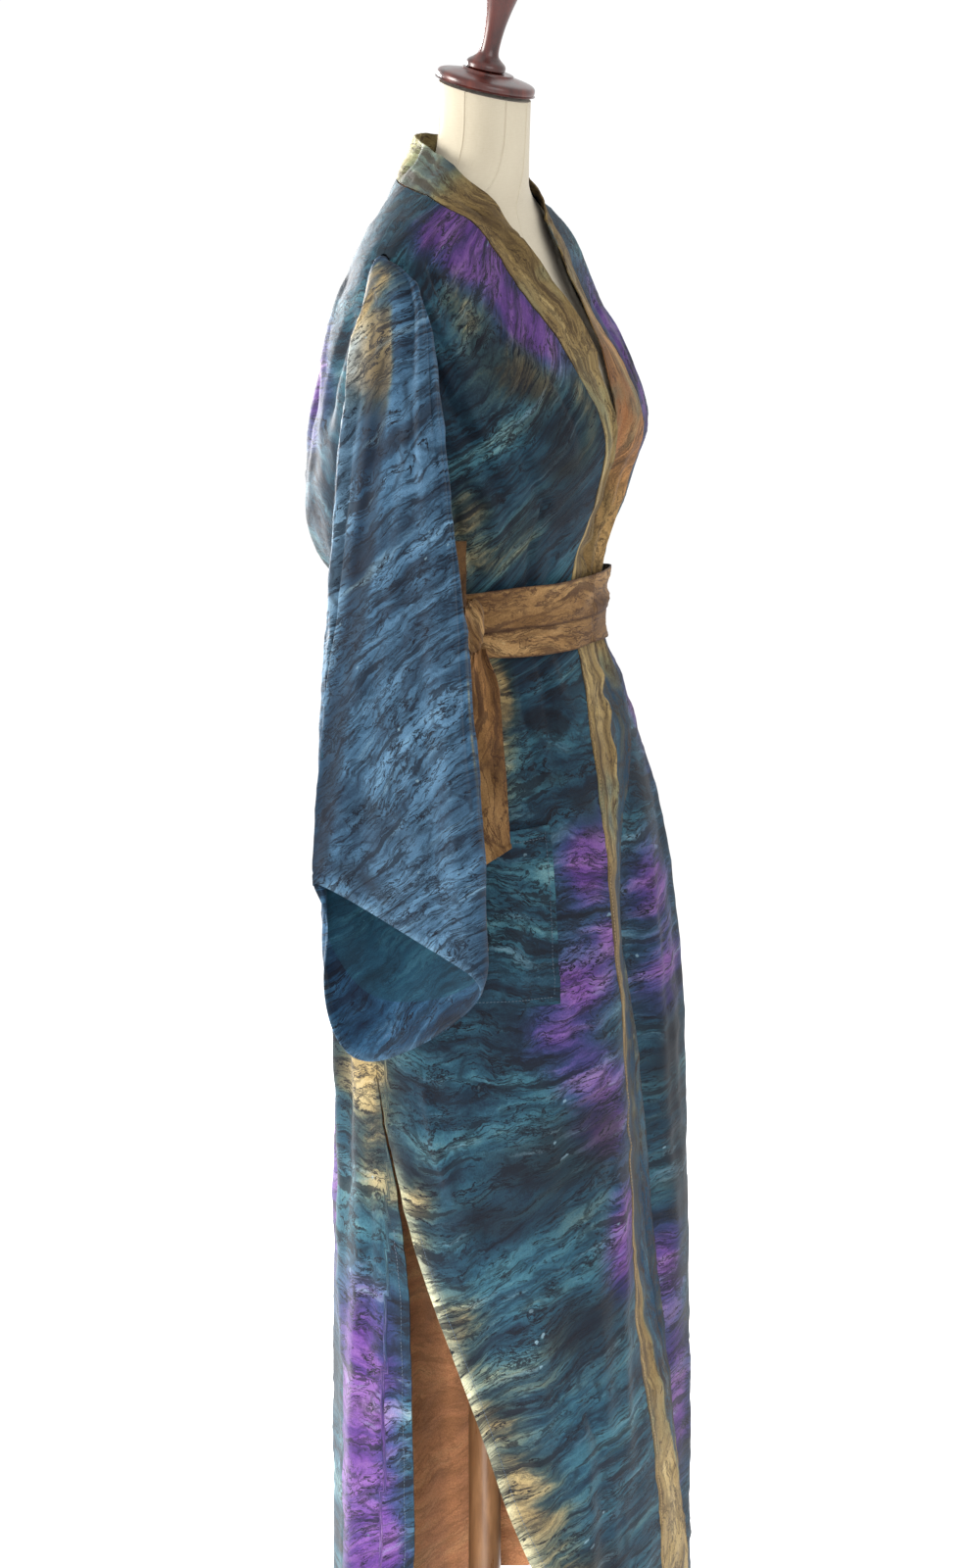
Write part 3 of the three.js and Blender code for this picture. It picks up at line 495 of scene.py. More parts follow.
def underlap(angle, z):
    """The left front sinks below the right one where that one covers it."""
    reach = (angle - edge("right_free", z) + UNDERLAP_FROM) / UNDERLAP_SOFT
    return -UNDERLAP * smooth(reach) * smooth((UNDERLAP_TOP - z) / UNDERLAP_FADE)


def flush(angle, _):
    """No offset: what lies in the body's own surface."""
    return 0 * angle


def armhole_angle(z):
    """Half the armhole's width, in degrees, at a height."""
    level = (z - ARMHOLE_MID_Z) / ARMHOLE_HALF_HEIGHT
    return ARMHOLE_HALF_ANGLE * np.sqrt(np.maximum(0, 1 - level**2))


def nape_rise(angle):
    return NAPE_RISE * np.maximum(0, np.sin(np.radians(angle - 90))) ** 0.8


# ----------------------------------------------------------------- mesh builders
def grid_normals(grid, closed):
    """Unit normals of a grid of points: up the rows cross along the columns."""
    up = np.gradient(grid, axis=0)
    over = (np.roll(grid, -1, 1) - np.roll(grid, 1, 1)) if closed else np.gradient(grid, axis=1)
    normal = np.cross(up, over)
    size = np.linalg.norm(normal, axis=-1, keepdims=True)
    return normal / np.maximum(size, 1e-12)


def add_mesh(name, points, faces, materials, face_material=None, flow=None, dye=None):
    mesh = bpy.data.meshes.new(name)
    mesh.from_pydata(points, [], faces)
    for m in materials:
        mesh.materials.append(m)
    if face_material is not None:
        mesh.polygons.foreach_set("material_index", face_material)
    if flow is not None:
        mesh.attributes.new("flow", "FLOAT_VECTOR", "POINT").data.foreach_set(
            "vector", np.ascontiguousarray(flow, np.float32).ravel())
    # Besides dye, these colour channels carry painted shade and painted highlights.
    if dye is not None:
        mesh.attributes.new("dye", "FLOAT_COLOR", "POINT").data.foreach_set(
            "color", np.ascontiguousarray(np.clip(dye, 0, 1), np.float32).ravel())
    mesh.shade_smooth()
    mesh.set_sharp_from_angle(angle=math.radians(55))
    piece = bpy.data.objects.new(name, mesh)
    bpy.context.scene.collection.objects.link(piece)
    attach(piece, "root")
    return piece


def wall(name, grid, materials, flow, dye, closed=False, mirrored=False, facing_rows=0):
    """A cloth piece: the grid's outer and inner faces and the rims between them.

    The last `facing_rows` rows of the inner side are the outer cloth, turned in.
    """
    rows, columns = grid.shape[:2]
    half = grid_normals(grid, closed) * (-WALL / 2 if mirrored else WALL / 2)
    points = np.concatenate([(grid + half).reshape(-1, 3), (grid - half).reshape(-1, 3)])
    i, j = np.meshgrid(np.arange(rows - 1), np.arange(columns if closed else columns - 1),
                       indexing="ij")
    near, far = i * columns + j, i * columns + (j + 1) % columns
    quad = np.stack([near, far, far + columns, near + columns], -1).reshape(-1, 4)
    back = rows * columns
    rims = []
    across = np.arange(columns if closed else columns - 1)
    for row, turn in ((0, 1), (rows - 1, -1)):
        a, b = row * columns + across, row * columns + (across + 1) % columns
        rims.append(np.stack([b, a, a + back, b + back][::turn], -1))
    if not closed:
        down = np.arange(rows - 1)
        for column, turn in ((0, 1), (columns - 1, -1)):
            a, b = down * columns + column, (down + 1) * columns + column
            rims.append(np.stack([a, b, b + back, a + back][::turn], -1))
    faces = np.concatenate([quad, quad[:, ::-1] + back] + rims)
    if mirrored:
        faces = faces[:, ::-1]
    inside = np.zeros(len(faces), np.int32)
    if len(materials) > 1:
        inside[len(quad):2 * len(quad)] = (i < rows - 1 - facing_rows).reshape(-1)
    return add_mesh(name, points, faces.tolist(), materials, inside,
                    np.concatenate([flow.reshape(-1, 3)] * 2),
                    np.concatenate([dye.reshape(-1, 4)] * 2))


def stand_in(piece, node):
    """Show a piece in place of one of the solids."""
    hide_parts(node)
    return piece


def cloth(node, slot, *sheet, **shape):
    return stand_in(wall(node + "_cloth", *sheet, **shape), node)


def unit_grid(rows, columns, low=0):
    """v from 0 to 1 up the rows and u from `low` to 1 along the columns."""
    return np.meshgrid(np.linspace(0, 1, rows), np.linspace(low, 1, columns), indexing="ij")


def ring_grid(levels, around):
    """Every level, all the way round, and the turn in degrees."""
    return np.meshgrid(levels, np.linspace(0, 360, around, endpoint=False), indexing="ij")


def capped(grid, ends, inside_out=False):
    """Points and faces of a stack of rings, closed by a point at either end."""
    rows, around = grid.shape[:2]
    points = np.concatenate([grid.reshape(-1, 3), ends])
    i, j = np.meshgrid(np.arange(rows - 1), np.arange(around), indexing="ij")
    a, b = i * around + j, i * around + (j + 1) % around
    faces = np.stack([a, b, b + around, a + around], -1).reshape(-1, 4).tolist()
    top = (rows - 1) * around
    for k in range(around):
        n = (k + 1) % around
        faces += [[len(points) - 2, n, k], [len(points) - 1, top + k, top + n]]
    return points, [f[:1] + f[:0:-1] for f in faces] if inside_out else faces


# ------------------------------------------------------------- the dye's patches
# Patches of colour on the body: centre and reach, as an angle and a height.
VIOLET = table(
    "at z wide tall strength",
    (60, 1.470, 15, 0.020, 1.0),
    (40, 1.474, 18, 0.020, 1.0),
    (32, 1.446, 14, 0.026, 1.1),
    (25, 1.405, 10, 0.034, 1.1),
    (24, 1.368, 9, 0.026, 0.9),
    (44, 1.428, 10, 0.022, 0.45),
    (36, 1.372, 7, 0.020, 0.35),
    (27, 0.880, 12, 0.036, 1.1),
    (20, 0.812, 8, 0.024, 0.7),
    (33, 0.775, 13, 0.032, 1.1),
    (42, 0.728, 11, 0.024, 0.8),
    (27, 0.680, 12, 0.028, 0.9),
    (24, 0.636, 10, 0.024, 1.0),
    (14, 0.930, 5, 0.040, 0.5),
    (18, 0.545, 7, 0.040, 0.9),
    (21, 0.505, 7, 0.034, 0.9),
    (-33, 1.010, 14, 0.070, 1.0),
    (-10, 0.850, 12, 0.040, 1.0),
    (-13, 0.760, 14, 0.034, 0.9),
    (-23, 1.310, 9, 0.060, 0.9),
    (-38, 1.355, 12, 0.060, 0.9),
    (-6, 0.475, 9, 0.040, 0.9),
    (-12, 0.330, 10, 0.090, 1.0),
    (112, 0.400, 15, 0.080, 1.1),
    (118, 0.290, 16, 0.080, 1.1),
    (102, 0.235, 10, 0.060, 0.9),
    (-62, 0.640, 16, 0.110, 1.0),
    (-74, 0.250, 14, 0.100, 0.9),
    (150, 1.330, 16, 0.060, 1.0),
    (176, 0.980, 20, 0.070, 1.0),
    (158, 0.560, 16, 0.120, 1.0),
    (204, 1.430, 20, 0.040, 1.0),
    (214, 0.740, 18, 0.110, 1.0),
    (196, 0.230, 20, 0.080, 1.0),
    (246, 1.220, 14, 0.080, 0.9),
    (244, 0.420, 16, 0.110, 1.0),
)
GOLD = table(
    "at z wide tall strength",
    (66, 1.215, 9, 0.028, 0.75),
    (55, 1.168, 10, 0.018, 0.5),
    (72, 1.150, 9, 0.026, 0.7),
    (49, 1.400, 10, 0.030, 0.60),
    (40, 1.345, 9, 0.024, 0.40),
    (56, 1.330, 10, 0.040, 0.38),
    (40, 1.190, 9, 0.028, 0.40),
    (30, 1.250, 9, 0.030, 0.34),
    (36, 1.330, 8, 0.030, 0.26),
    (58, 0.960, 9, 0.040, 0.34),
    (44, 0.420, 14, 0.040, 0.30),
    (34, 0.560, 12, 0.030, 0.24),
    (55, 1.040, 6, 0.036, 0.9),
    (66, 1.020, 10, 0.060, 0.7),
    (88, 0.560, 7, 0.050, 0.7),
    (74, 0.455, 9, 0.040, 0.7),
    (63, 0.370, 10, 0.040, 0.7),
    (54, 0.290, 11, 0.045, 0.9),
    (43, 0.190, 12, 0.060, 1.0),
    (38, 0.100, 10, 0.050, 0.8),
    (112, 0.690, 14, 0.045, 1.1),
    (104, 0.600, 9, 0.040, 0.6),
    (20, 1.300, 5, 0.050, 0.5),
    (-50, 1.180, 12, 0.040, 0.8),
    (-46, 0.480, 12, 0.070, 0.8),
    (168, 1.160, 16, 0.040, 0.8),
    (186, 0.720, 14, 0.060, 0.9),
    (226, 0.980, 14, 0.050, 0.8),
    (136, 0.820, 10, 0.050, 0.7),
    (216, 0.360, 14, 0.060, 0.9),
    (260, 0.680, 10, 0.070, 0.8),
)
DARK = table(
    "at z wide tall strength",
    (36, 1.280, 14, 0.060, 0.8),
    (48, 1.345, 14, 0.030, 0.5),
    (24, 1.210, 10, 0.040, 0.7),
    (38, 1.020, 7, 0.009, 1.7),
    (31, 1.012, 4, 0.008, 1.5),
    (38, 0.975, 12, 0.030, 0.7),
    (24, 0.930, 9, 0.030, 0.6),
    (32, 0.640, 14, 0.030, 0.8),
    (48, 0.600, 16, 0.030, 0.7),
    (66, 0.560, 14, 0.020, 0.6),
    (34, 0.450, 12, 0.030, 0.7),
    (30, 0.200, 12, 0.030, 0.6),
    (-14, 0.660, 14, 0.060, 0.7),
    (-20, 0.560, 14, 0.040, 0.5),
    (180, 1.100, 40, 0.050, 0.6),
    (140, 0.700, 16, 0.040, 0.7),
    (200, 0.600, 18, 0.050, 0.7),
    (232, 0.560, 16, 0.040, 0.6),
    (170, 0.360, 18, 0.050, 0.6),
)
METRES_A_DEGREE = 0.0032
STREAK_REACH, STREAK_FROM = 0.18, 30
CHEST_FROM, CHEST_SOFT = 1.02, 0.14
FOOT_TOP, FOOT_SOFT = 0.42, 0.3
SLANT_TOP, SLANT_SOFT = 0.74, 0.34
SLANT_HIP, SLANT_GAIN, SLANT_CHEST = 0.12, 0.38, 0.70
RAGGED_BODY, RAGGED_SLEEVE = 0.35, 0.4
DEEPENING, DEEP_FROM, DEEP_SOFT = 0.34, 1.0, 0.5


def patches(rows, at, z, ragged):
    """Soft patches of one colour, made uneven by `ragged`."""
    total = 0.0
    for centre, height, wide, tall, strength in zip(*rows.values()):
        off = (turn_between(at, centre) / wide) ** 2 + ((z - height) / tall) ** 2
        total = total + strength * np.exp(-0.9 * off)
    return total * (1 + ragged)


def slit_light(angle, z):
    """The front's slit edge and a strip beside it are painted pale: partly pale dye, partly painted
    light.
    """
    off = (edge("front", z) - angle) * METRES_A_DEGREE
    strip = np.exp(-(off / 0.009) ** 2) * (off > -0.002)
    return strip * smooth((0.66 - z) / 0.12)


def body_dye_and_painted_light(angle, z):
    """Amounts of violet, gold and dark dye, and of the pale slit strip, which is partly pale dye
    and partly painted light.
    """
    s = angle * METRES_A_DEGREE
    ragged = RAGGED_BODY * noise(s * 22, z * 55, 0 * z)
    deepening = DEEPENING * smooth((DEEP_FROM - z) / DEEP_SOFT)
    return np.stack([patches(VIOLET, angle, z, ragged), patches(GOLD, angle, z, ragged),
                     patches(DARK, angle, z, ragged) + deepening, slit_light(angle, z)], -1)


def body_flow(angle, z):
    """Where a point lies along and across the dye's streaks, in metres."""
    s = angle * METRES_A_DEGREE
    near = STREAK_REACH * np.tanh((angle - STREAK_FROM) * METRES_A_DEGREE / STREAK_REACH)
    chest = smooth((z - CHEST_FROM) / CHEST_SOFT)
    foot = smooth((FOOT_TOP - z) / FOOT_SOFT)
    steep = SLANT_HIP + SLANT_GAIN * smooth((SLANT_TOP - z) / SLANT_SOFT)
    rising = steep * near * (1 - chest) + SLANT_CHEST * near * chest
    swoop = 0.012 * np.sin(s * 13 + z * 9) + 0.04 * foot * np.sin(near * 9 - 0.9)
    return np.stack([s + 0.3 * chest * z, z + rising + swoop, 0.35 * (angle > 100) + 0 * z], -1)


# ------------------------------------------------------------------- the panels
def steps(a, b, size):
    return np.linspace(a, b, max(2, int(round(abs(b - a) / size)) + 1))


def joined(*runs):
    return np.concatenate([runs[0]] + [r[1:] for r in runs[1:]])


ARM_LOW, ARM_HIGH = ARMHOLE_MID_Z - ARMHOLE_HALF_HEIGHT, ARMHOLE_MID_Z + ARMHOLE_HALF_HEIGHT
ARM_LEVELS = ARMHOLE_MID_Z - ARMHOLE_HALF_HEIGHT * np.cos(np.linspace(0, np.pi, 54))
LEVELS = joined(steps(HEM_Z, 1.02, 0.0055), steps(1.02, ARM_LOW, 0.0045), ARM_LEVELS,
                steps(ARM_HIGH, NECK_POINT_Z, 0.0025))
SEAM_HALF = 0.00015


def spread(start, end, count):
    return lerp(start[:, None], end[:, None], np.linspace(0, 1, count)[None, :])


def seam_degrees(angle, z):
    """Half a seam's gap, in degrees, at a place on the body."""
    apart = body_point(angle + 0.5, z) - body_point(angle - 0.5, z)
    return SEAM_HALF / np.linalg.norm(apart, axis=-1)


HEM_DEEP, HEM_THICK, STITCH_DIP = 0.011, 0.0005, 0.0005
SLIT_TOP_Z = 0.72


def hem_rise(away):
    """A turned edge: a little thicker, with a dip where it is stitched."""
    dip = STITCH_DIP * np.exp(-((away - HEM_DEEP) / 0.0016) ** 2)
    return HEM_THICK * smooth((HEM_DEEP + 0.001 - away) / 0.002) - dip


def panel_grid(start, end, count, out, lift=None, slit_columns=()):
    z = np.repeat(LEVELS[:, None], count, 1)
    a = spread(start + seam_degrees(start, LEVELS), end - seam_degrees(end, LEVELS), count)
    if lift is not None:
        z = z + lift(a, z)
    rise = hem_rise(z - HEM_Z)
    for column in slit_columns:
        away = np.abs(a - a[:, column:][:, :1]) * METRES_A_DEGREE
        below = smooth((SLIT_TOP_Z - z) / 0.03)
        rise = rise + below * hem_rise(away)
    return a, z, cloth_point(a, z, out(a, z) + rise)


left_side = np.where(LEVELS < NECK_FROM, 90, edge("front", LEVELS))
arm = armhole_angle(LEVELS)


NAPE_LIFT_FROM = 1.440


def nape_lift(angle, z):
    return nape_rise(angle) * smooth((z - NAPE_LIFT_FROM) / (NECK_POINT_Z - NAPE_LIFT_FROM))


def panel(name, materials, start, end, count, out=flush, lift=None, slit_columns=()):
    a, z, grid = panel_grid(start, end, count, out, lift, slit_columns)
    return cloth(name, "dyed_cloth", grid, materials, body_flow(a, z), body_dye_and_painted_light(a, z))


# --------------------------------------------------------------------- the bands
BAND_COLUMNS = 13
BAND_WIDE = 0.044
NAPE_STEPS = 44
STAND_CLEAR = 0.0013
BAND_RIPPLE = 0.0036
RIPPLE_WAVES, RIPPLE_SLOW, RIPPLE_FINE = 165, 0.0024, 0.0006
WAIST_RIPPLES = ((1.165, 0.04, 1.0), (1.02, 0.06, 0.8))
PLEAT_RISE, PLEATS = 0.0030, 17
PLEATS_FROM, PLEATS_TO = 1.10, 1.28
NECK_WRINKLES = (0.0034, 0.0026, 0.0012)
LEFT_BARE = 0.008                # the left band's free edge keeps this far back at the chest
BARE_METRES_A_DEGREE = 0.0026


def band_ripple(u, z, seed):
    """The band buckles most at its free edge, above and below the belt."""
    waist = sum(share * np.exp(-((z - at) / tall) ** 2) for at, tall, share in WAIST_RIPPLES)
    wave = np.sin(z * RIPPLE_WAVES + 3 * noise(z * 9 + seed, 0 * z, 0 * z))
    slow = noise(z * 16 + seed, u * 1.5, 0 * z)
    return (waist * wave * BAND_RIPPLE * u**1.3 + RIPPLE_SLOW * slow * u
            + RIPPLE_FINE * noise(z * 70, u * 2, seed + 0 * z))


def lying_band(side, name, bare, u):
    """The band where it lies on a front, and its seam, at every level."""
    out = flush if side > 0 else underlap
    bound = edge(f"{name}_seam", LEVELS)
    seam = bound - side * 2 * seam_degrees(bound, LEVELS)
    free_edge = edge(f"{name}_free", LEVELS) - bare / BARE_METRES_A_DEGREE
    angle = spread(seam, free_edge, BAND_COLUMNS)
    z = np.repeat(LEVELS[:, None], BAND_COLUMNS, 1)
    ripple = band_ripple(u, z, 3 + side)
    if side < 0:
        seen = smooth((edge("right_free", z) - 0.8 - angle) / 1.2)
        waist = smooth((z - PLEATS_FROM) / 0.02) * smooth((PLEATS_TO - z) / 0.06)
        pleat = np.sin(u * PLEATS + 2.2 * noise(z * 12, 0 * z, 0 * z)) * waist
        ripple = 0.35 * np.minimum(ripple, 0.001) + PLEAT_RISE * pleat * seen
    edges = hem_rise((1 - u) * BAND_WIDE) + hem_rise(u * BAND_WIDE) * 0.6
    return (cloth_point(angle, z, out(angle, z) + ripple + edges),
            cloth_point(seam, LEVELS, out(seam, LEVELS)))


def standing_band(side, name, bare, seam, u):
    """The band where it stands up round the neck, its run and its width."""
    high = LEVELS >= NECK_FROM
    open_up = bare * smooth((1.46 - LEVELS) / 0.04)
    free = np.stack([along(NECK_EDGE, "z", f"{name}_x", LEVELS) + open_up,
                     along(NECK_EDGE, "z", f"{name}_y", LEVELS),
                     along(NECK_EDGE, "z", "up", LEVELS)], -1)
    turn = np.linspace(95, 180 - 4 * seam_degrees(np.array(180.0), np.array(NECK_POINT_Z)),
                       NAPE_STEPS)
    nape_seam = cloth_point(turn, NECK_POINT_Z + nape_rise(turn), detail=0.3)
    nape_free = np.stack([-along(NAPE_EDGE, "angle", "x", turn),
                          along(NAPE_EDGE, "angle", "y", turn),
                          along(NAPE_EDGE, "angle", "up", turn)], -1)
    nape_free[:, 0] = np.minimum(nape_free[:, 0], -0.0006)
    for nape in (nape_seam, nape_free):
        nape[:, 0] *= side
    start = np.concatenate([seam[high], nape_seam])
    end = np.concatenate([free[high], nape_free])
    reach = np.linalg.norm(end - start, axis=-1)[:, None]
    part = lerp(STAND_CLEAR / reach, 1.0, u)
    stand = lerp(start[:, None], end[:, None], part[..., None])
    run = np.concatenate([[0], np.cumsum(np.linalg.norm(np.diff(end, axis=0), axis=-1))])
    far = run[:, None] + 0 * u
    large, middle, small = NECK_WRINKLES
    wrinkle = (large * ridges(far * 34, u * 2.2 + far * 9, side + 0 * far)
               + middle * noise(far * 75, u * 3 - far * 20, side + 9 + 0 * far)
               + small * ridges(far * 120, u * 5 + far * 40, side + 5 + 0 * far))
    held = smooth(far / 0.16) * smooth((run[-1] - far) / 0.012)
    bow = 0.0015 * np.sin(np.pi * u) * smooth(far / 0.05)
    settle = np.sin(np.pi * u) ** 0.6 * 0.5 + 0.5 * u
    rise = wrinkle * held * settle + bow + hem_rise((1 - u) * reach)
    return stand + grid_normals(stand, False) * (side * rise)[..., None], run, u * reach


def band_grid(side):
    name = "right" if side > 0 else "left"
    low = LEVELS < NECK_FROM
    u = np.linspace(0, 1, BAND_COLUMNS)[None, :]
    bare = LEFT_BARE * smooth((LEVELS - 1.24) / 0.05) * (side < 0)
    flat, seam = lying_band(side, name, bare, u)
    stand, run, width = standing_band(side, name, bare, seam, u)
    run = np.concatenate([LEVELS[low], NECK_FROM + run])[:, None] + 0 * u
    across = u * BAND_WIDE + 0 * LEVELS[low][:, None]
    return np.concatenate([flat[low], stand]), run, np.concatenate([across, width])


# How far from its seam the right band shows its gold dye, below the belt.
BAND_GOLD = table(
    "z wide",
    (0.070, 0.050), (0.200, 0.046), (0.250, 0.042), (0.370, 0.027), (0.450, 0.022),
    (0.530, 0.012), (0.560, 0.002), (0.655, 0.002), (0.680, 0.018), (0.800, 0.019),
    (0.860, 0.020), (0.900, 0.034), (0.950, 0.044), (1.000, 0.046), (1.060, 0.046),
    (1.100, 0.050),
)


BAND_TEAL = table(
    "run tall strength",
    (0.93, 0.030, 0.7), (1.590, 0.034, 1.3), (1.72, 0.03, 0.6), (0.33, 0.05, 0.4),
    (1.30, 0.05, 0.45), (1.42, 0.03, 0.3),
)


def band_dye(run, u, side):
    """The olive palette's violet channel is orange and its gold channel is teal."""
    t = sum(s * np.exp(-((run - r) / w) ** 2) for r, w, s in zip(*BAND_TEAL.values()))
    wide = along(BAND_GOLD, "z", "wide", run) + 0.002 * noise(run * 40, 0 * run, 0 * run)
    t = np.maximum(t, 1.6 * smooth((u - wide) / 0.004))
    orange = (side < 0) * (0.9 * np.exp(-((run - 1.29) / 0.05) ** 2)
                           + 0.25 * smooth((run - 1.02) / 0.1) * smooth((1.46 - run) / 0.1))
    if side < 0:
        t = np.maximum(t, 1.6 * smooth((1.08 - run) / 0.05) * smooth((run - 0.27) / 0.05))
    pale = smooth((run - 1.52) / 0.12) * 0.55
    return np.stack([orange + 0 * t, t * (0.9 + 0.5 * noise(run * 60, u * 60, 0 * run)),
                     0.6 * smooth((0.005 - u) / 0.005), pale], -1)


def band(side, materials):
    name = "band_right" if side > 0 else "band_left"
    grid, run, u = band_grid(side)
    flow = np.stack([run, u + 0.010 * np.sin(run * 11 + side), 2.0 + side + 0 * run], -1)
    return cloth(name, "band_cloth", grid, materials, flow, band_dye(run, u, side),
                 mirrored=side < 0)


# ------------------------------------------------------------------- the sleeves
SLEEVE_AROUND, SLEEVE_DOWN, SLEEVE_FACING = 168, 190, 34
SLEEVE_CLEAR = 0.008             # it leaves the body's side by this much before it falls
CAD_WALL = 0.002                 # the solids' wall


def armhole_point(angle, out):
    z = ARMHOLE_MID_Z + (ARMHOLE_HALF_HEIGHT - CAD_WALL) * np.cos(angle)
    side = edge("front", z)
    rim = side - np.sign(np.sin(angle)) * armhole_angle(z)
    inset = seam_degrees(rim, z) / SEAM_HALF * CAD_WALL
    p = body_point(side - (ARMHOLE_HALF_ANGLE - inset) * np.sin(angle), z)
    return p - np.stack([out + 0 * z, 0 * z, 0 * z], -1)


def hanging_point(angle, step):
    """A point of the sleeve that hangs free: flat ovals from the table."""
    def value(column):
        return along(SLEEVE_RINGS, "step", column, step)

    outer = (1 + np.cos(angle)) / 2
    middle = (value("front_y") + value("back_y")) / 2
    reach = np.sign(np.sin(angle)) * np.abs(np.sin(angle)) ** 0.8
    pull = np.maximum(0, np.cos(angle)) ** 2 * (value("ridge_y") - middle)
    y = middle - reach * (value("back_y") - value("front_y")) / 2 + pull * (1 - reach**2)
    rise = value("out_slope") * outer + value("in_slope") * (1 - outer)
    return np.stack([-lerp(value("in_x"), value("out_x"), smooth(outer)), y,
                     lerp(value("in_z"), value("out_z"), outer) + rise * (y - SLEEVE_PIVOT_Y)], -1)


def sleeve_point(angle, step):
    """From the armhole at step 0, clear of it at 1, to the first hanging ring at 2."""
    start, clear = armhole_point(angle, 0.0), armhole_point(angle, SLEEVE_CLEAR)
    first = hanging_point(angle, np.maximum(step, 2.0))
    near = lerp(start, clear, np.clip(step, 0, 1)[..., None])
    return lerp(near, first, np.clip(step - 1, 0, 1)[..., None])


# Creases of the right sleeve by turn round it in degrees (0 on the outer layer,
# 90 at the front edge) and step down it (0 at the armhole, 12 at the mouth).
SLEEVE_CREASES = table(
    "turn0 step0 turn1 step1 bow width rise",
    (4, 1.2, 10, 4.5, 4, 9, -0.0040),
    (22, 1.4, 34, 5.5, -4, 10, 0.0034),
    (38, 1.6, 52, 7.5, 5, 9, -0.0030),
    (14, 3.5, 22, 8.0, -5, 8, 0.0030),
    (28, 5.5, 40, 11.0, 5, 9, -0.0034),
    (52, 5.0, 62, 11.2, -4, 9, 0.0030),
    (66, 2.5, 74, 8.5, 3, 8, -0.0026),
    (8, 7.5, 12, 11.6, 3, 7, -0.0024),
    (-16, 1.5, -20, 6.0, 4, 10, 0.0036),
    (-30, 2.2, -38, 9.0, -5, 11, -0.0044),
    (-50, 1.8, -60, 6.5, 4, 10, 0.0034),
    (-58, 5.5, -66, 11.0, -4, 11, -0.0040),
    (-80, 2.5, -84, 9.0, 3, 9, 0.0030),
    (112, 2.5, 120, 9.5, -4, 12, 0.0036),
    (140, 3.0, 134, 10.0, 4, 12, -0.0036),
    (-120, 2.5, -128, 9.0, 4, 12, -0.0036),
    (-146, 3.5, -140, 10.0, -3, 12, 0.0034),
    (172, 2.0, 178, 7.0, 3, 12, 0.0030),
)
SLEEVE_PATCHES = {
    "violet": table("at step wide tall strength", (-150, 4.5, 24, 1.2, 0.9),
                    (150, 8.0, 20, 1.2, 0.6)),
    "gold": table("at step wide tall strength", (-22, 1.9, 26, 0.7, 0.9), (-60, 2.2, 22, 0.8, 1.3),
                  (-130, 7.5, 22, 0.9, 0.8), (88, 6.4, 5, 1.0, 0.5)),
    # The widest dark patch, at -60, darkens the side behind the ridge: partly dye, partly painted
    # shade.
    "dark": table("at step wide tall strength", (12, 10.4, 16, 0.6, 0.8), (20, 8.6, 20, 0.5, 0.5),
                  (-20, 8.0, 18, 0.8, 0.5), (120, 6.0, 26, 0.8, 0.6),
                  (-60, 6.0, 34, 4.5, 0.42)),
}


# The long ridge down the sleeve, and how far back of it a point lies.
SLEEVE_RIDGE = table(
    "z at",
    (0.88, -0.146), (0.915, -0.137), (0.966, -0.128), (1.040, -0.118), (1.100, -0.106),
    (1.155, -0.097), (1.215, -0.091), (1.310, -0.083), (1.360, -0.079),
)


RIDGE_VIEW = math.radians(25)    # the turn of the line of sight that shows the ridge
RIDGE_RISE, RIDGE_WIDE = 0.0045, 0.012
OUTER_X = -0.19


def past_ridge(p):
    """Beyond the ridge, toward the back, as seen from the wearer's front right."""
    seen = math.sin(RIDGE_VIEW) * p[..., 0] - math.cos(RIDGE_VIEW) * p[..., 1]
    return along(SLEEVE_RIDGE, "z", "at", p[..., 2]) - seen


def outer_side(p):
    return p[..., 0] < OUTER_X


def sleeve_rise(angle, step, p):
    rise = crease_sum(SLEEVE_CREASES, np.degrees(angle), step, 1.0, 0.25)
    slant = p[..., 2] - 0.9 * p[..., 1]
    rise = rise + CRUSH_BIG * ridges(p[..., 1] * 10, slant * 24, p[..., 0] * 6)
    rise = rise + CRUSH_SMALL * ridges(p[..., 1] * 24, slant * 56, p[..., 0] * 20 + 3)
    rise = rise + RIDGE_RISE * np.exp(-(past_ridge(p) / RIDGE_WIDE) ** 2) * outer_side(p)
    return rise * smooth(step / 1.6)


# Painted shade on the side behind the ridge, a painted rim of light at its back edge and a painted
# highlight along the mouth's lip.
TAN_Z, TAN_TALL, TAN_STRENGTH = 1.365, 0.042, 1.3
BEHIND_SHADE, RIM_FROM, RIM_WIDE, RIM_LIGHT = 0.72, 0.020, 0.020, 0.75
LIP_LIGHT, LIP_WIDE = 0.28, 0.006


def sleeve_dye_and_painted_light(side, at, step, grid, away):
    """Patches by turn and step; behind the ridge a tan corner over painted shade
    with a painted rim of light, painted light on the front and a painted highlight along the lip at
    the mouth."""
    ragged = RAGGED_SLEEVE * noise(at * 0.12, step * 3.1, side + 0 * step)
    violet, gold, dark = (patches(rows, at, step, ragged) for rows in SLEEVE_PATCHES.values())
    back = past_ridge(grid)
    behind = smooth(back / 0.008) * outer_side(grid)
    tan = behind * np.exp(-((grid[..., 2] - TAN_Z) / TAN_TALL) ** 2)
    shade = behind * smooth((step - 2.2) / 0.8)
    rim = smooth((back - RIM_FROM) / RIM_WIDE) * shade
    lit = smooth((np.cos(np.radians(at - 38)) - 0.55) / 0.4) * smooth((step - 1.6) / 1.2)
    lip = np.exp(-(away / LIP_WIDE) ** 2)
    return np.stack([violet, np.maximum(gold, TAN_STRENGTH * tan),
                     np.maximum(dark, BEHIND_SHADE * shade * (1 - rim)),
                     0.25 * lit + LIP_LIGHT * lip + RIM_LIGHT * rim], -1)


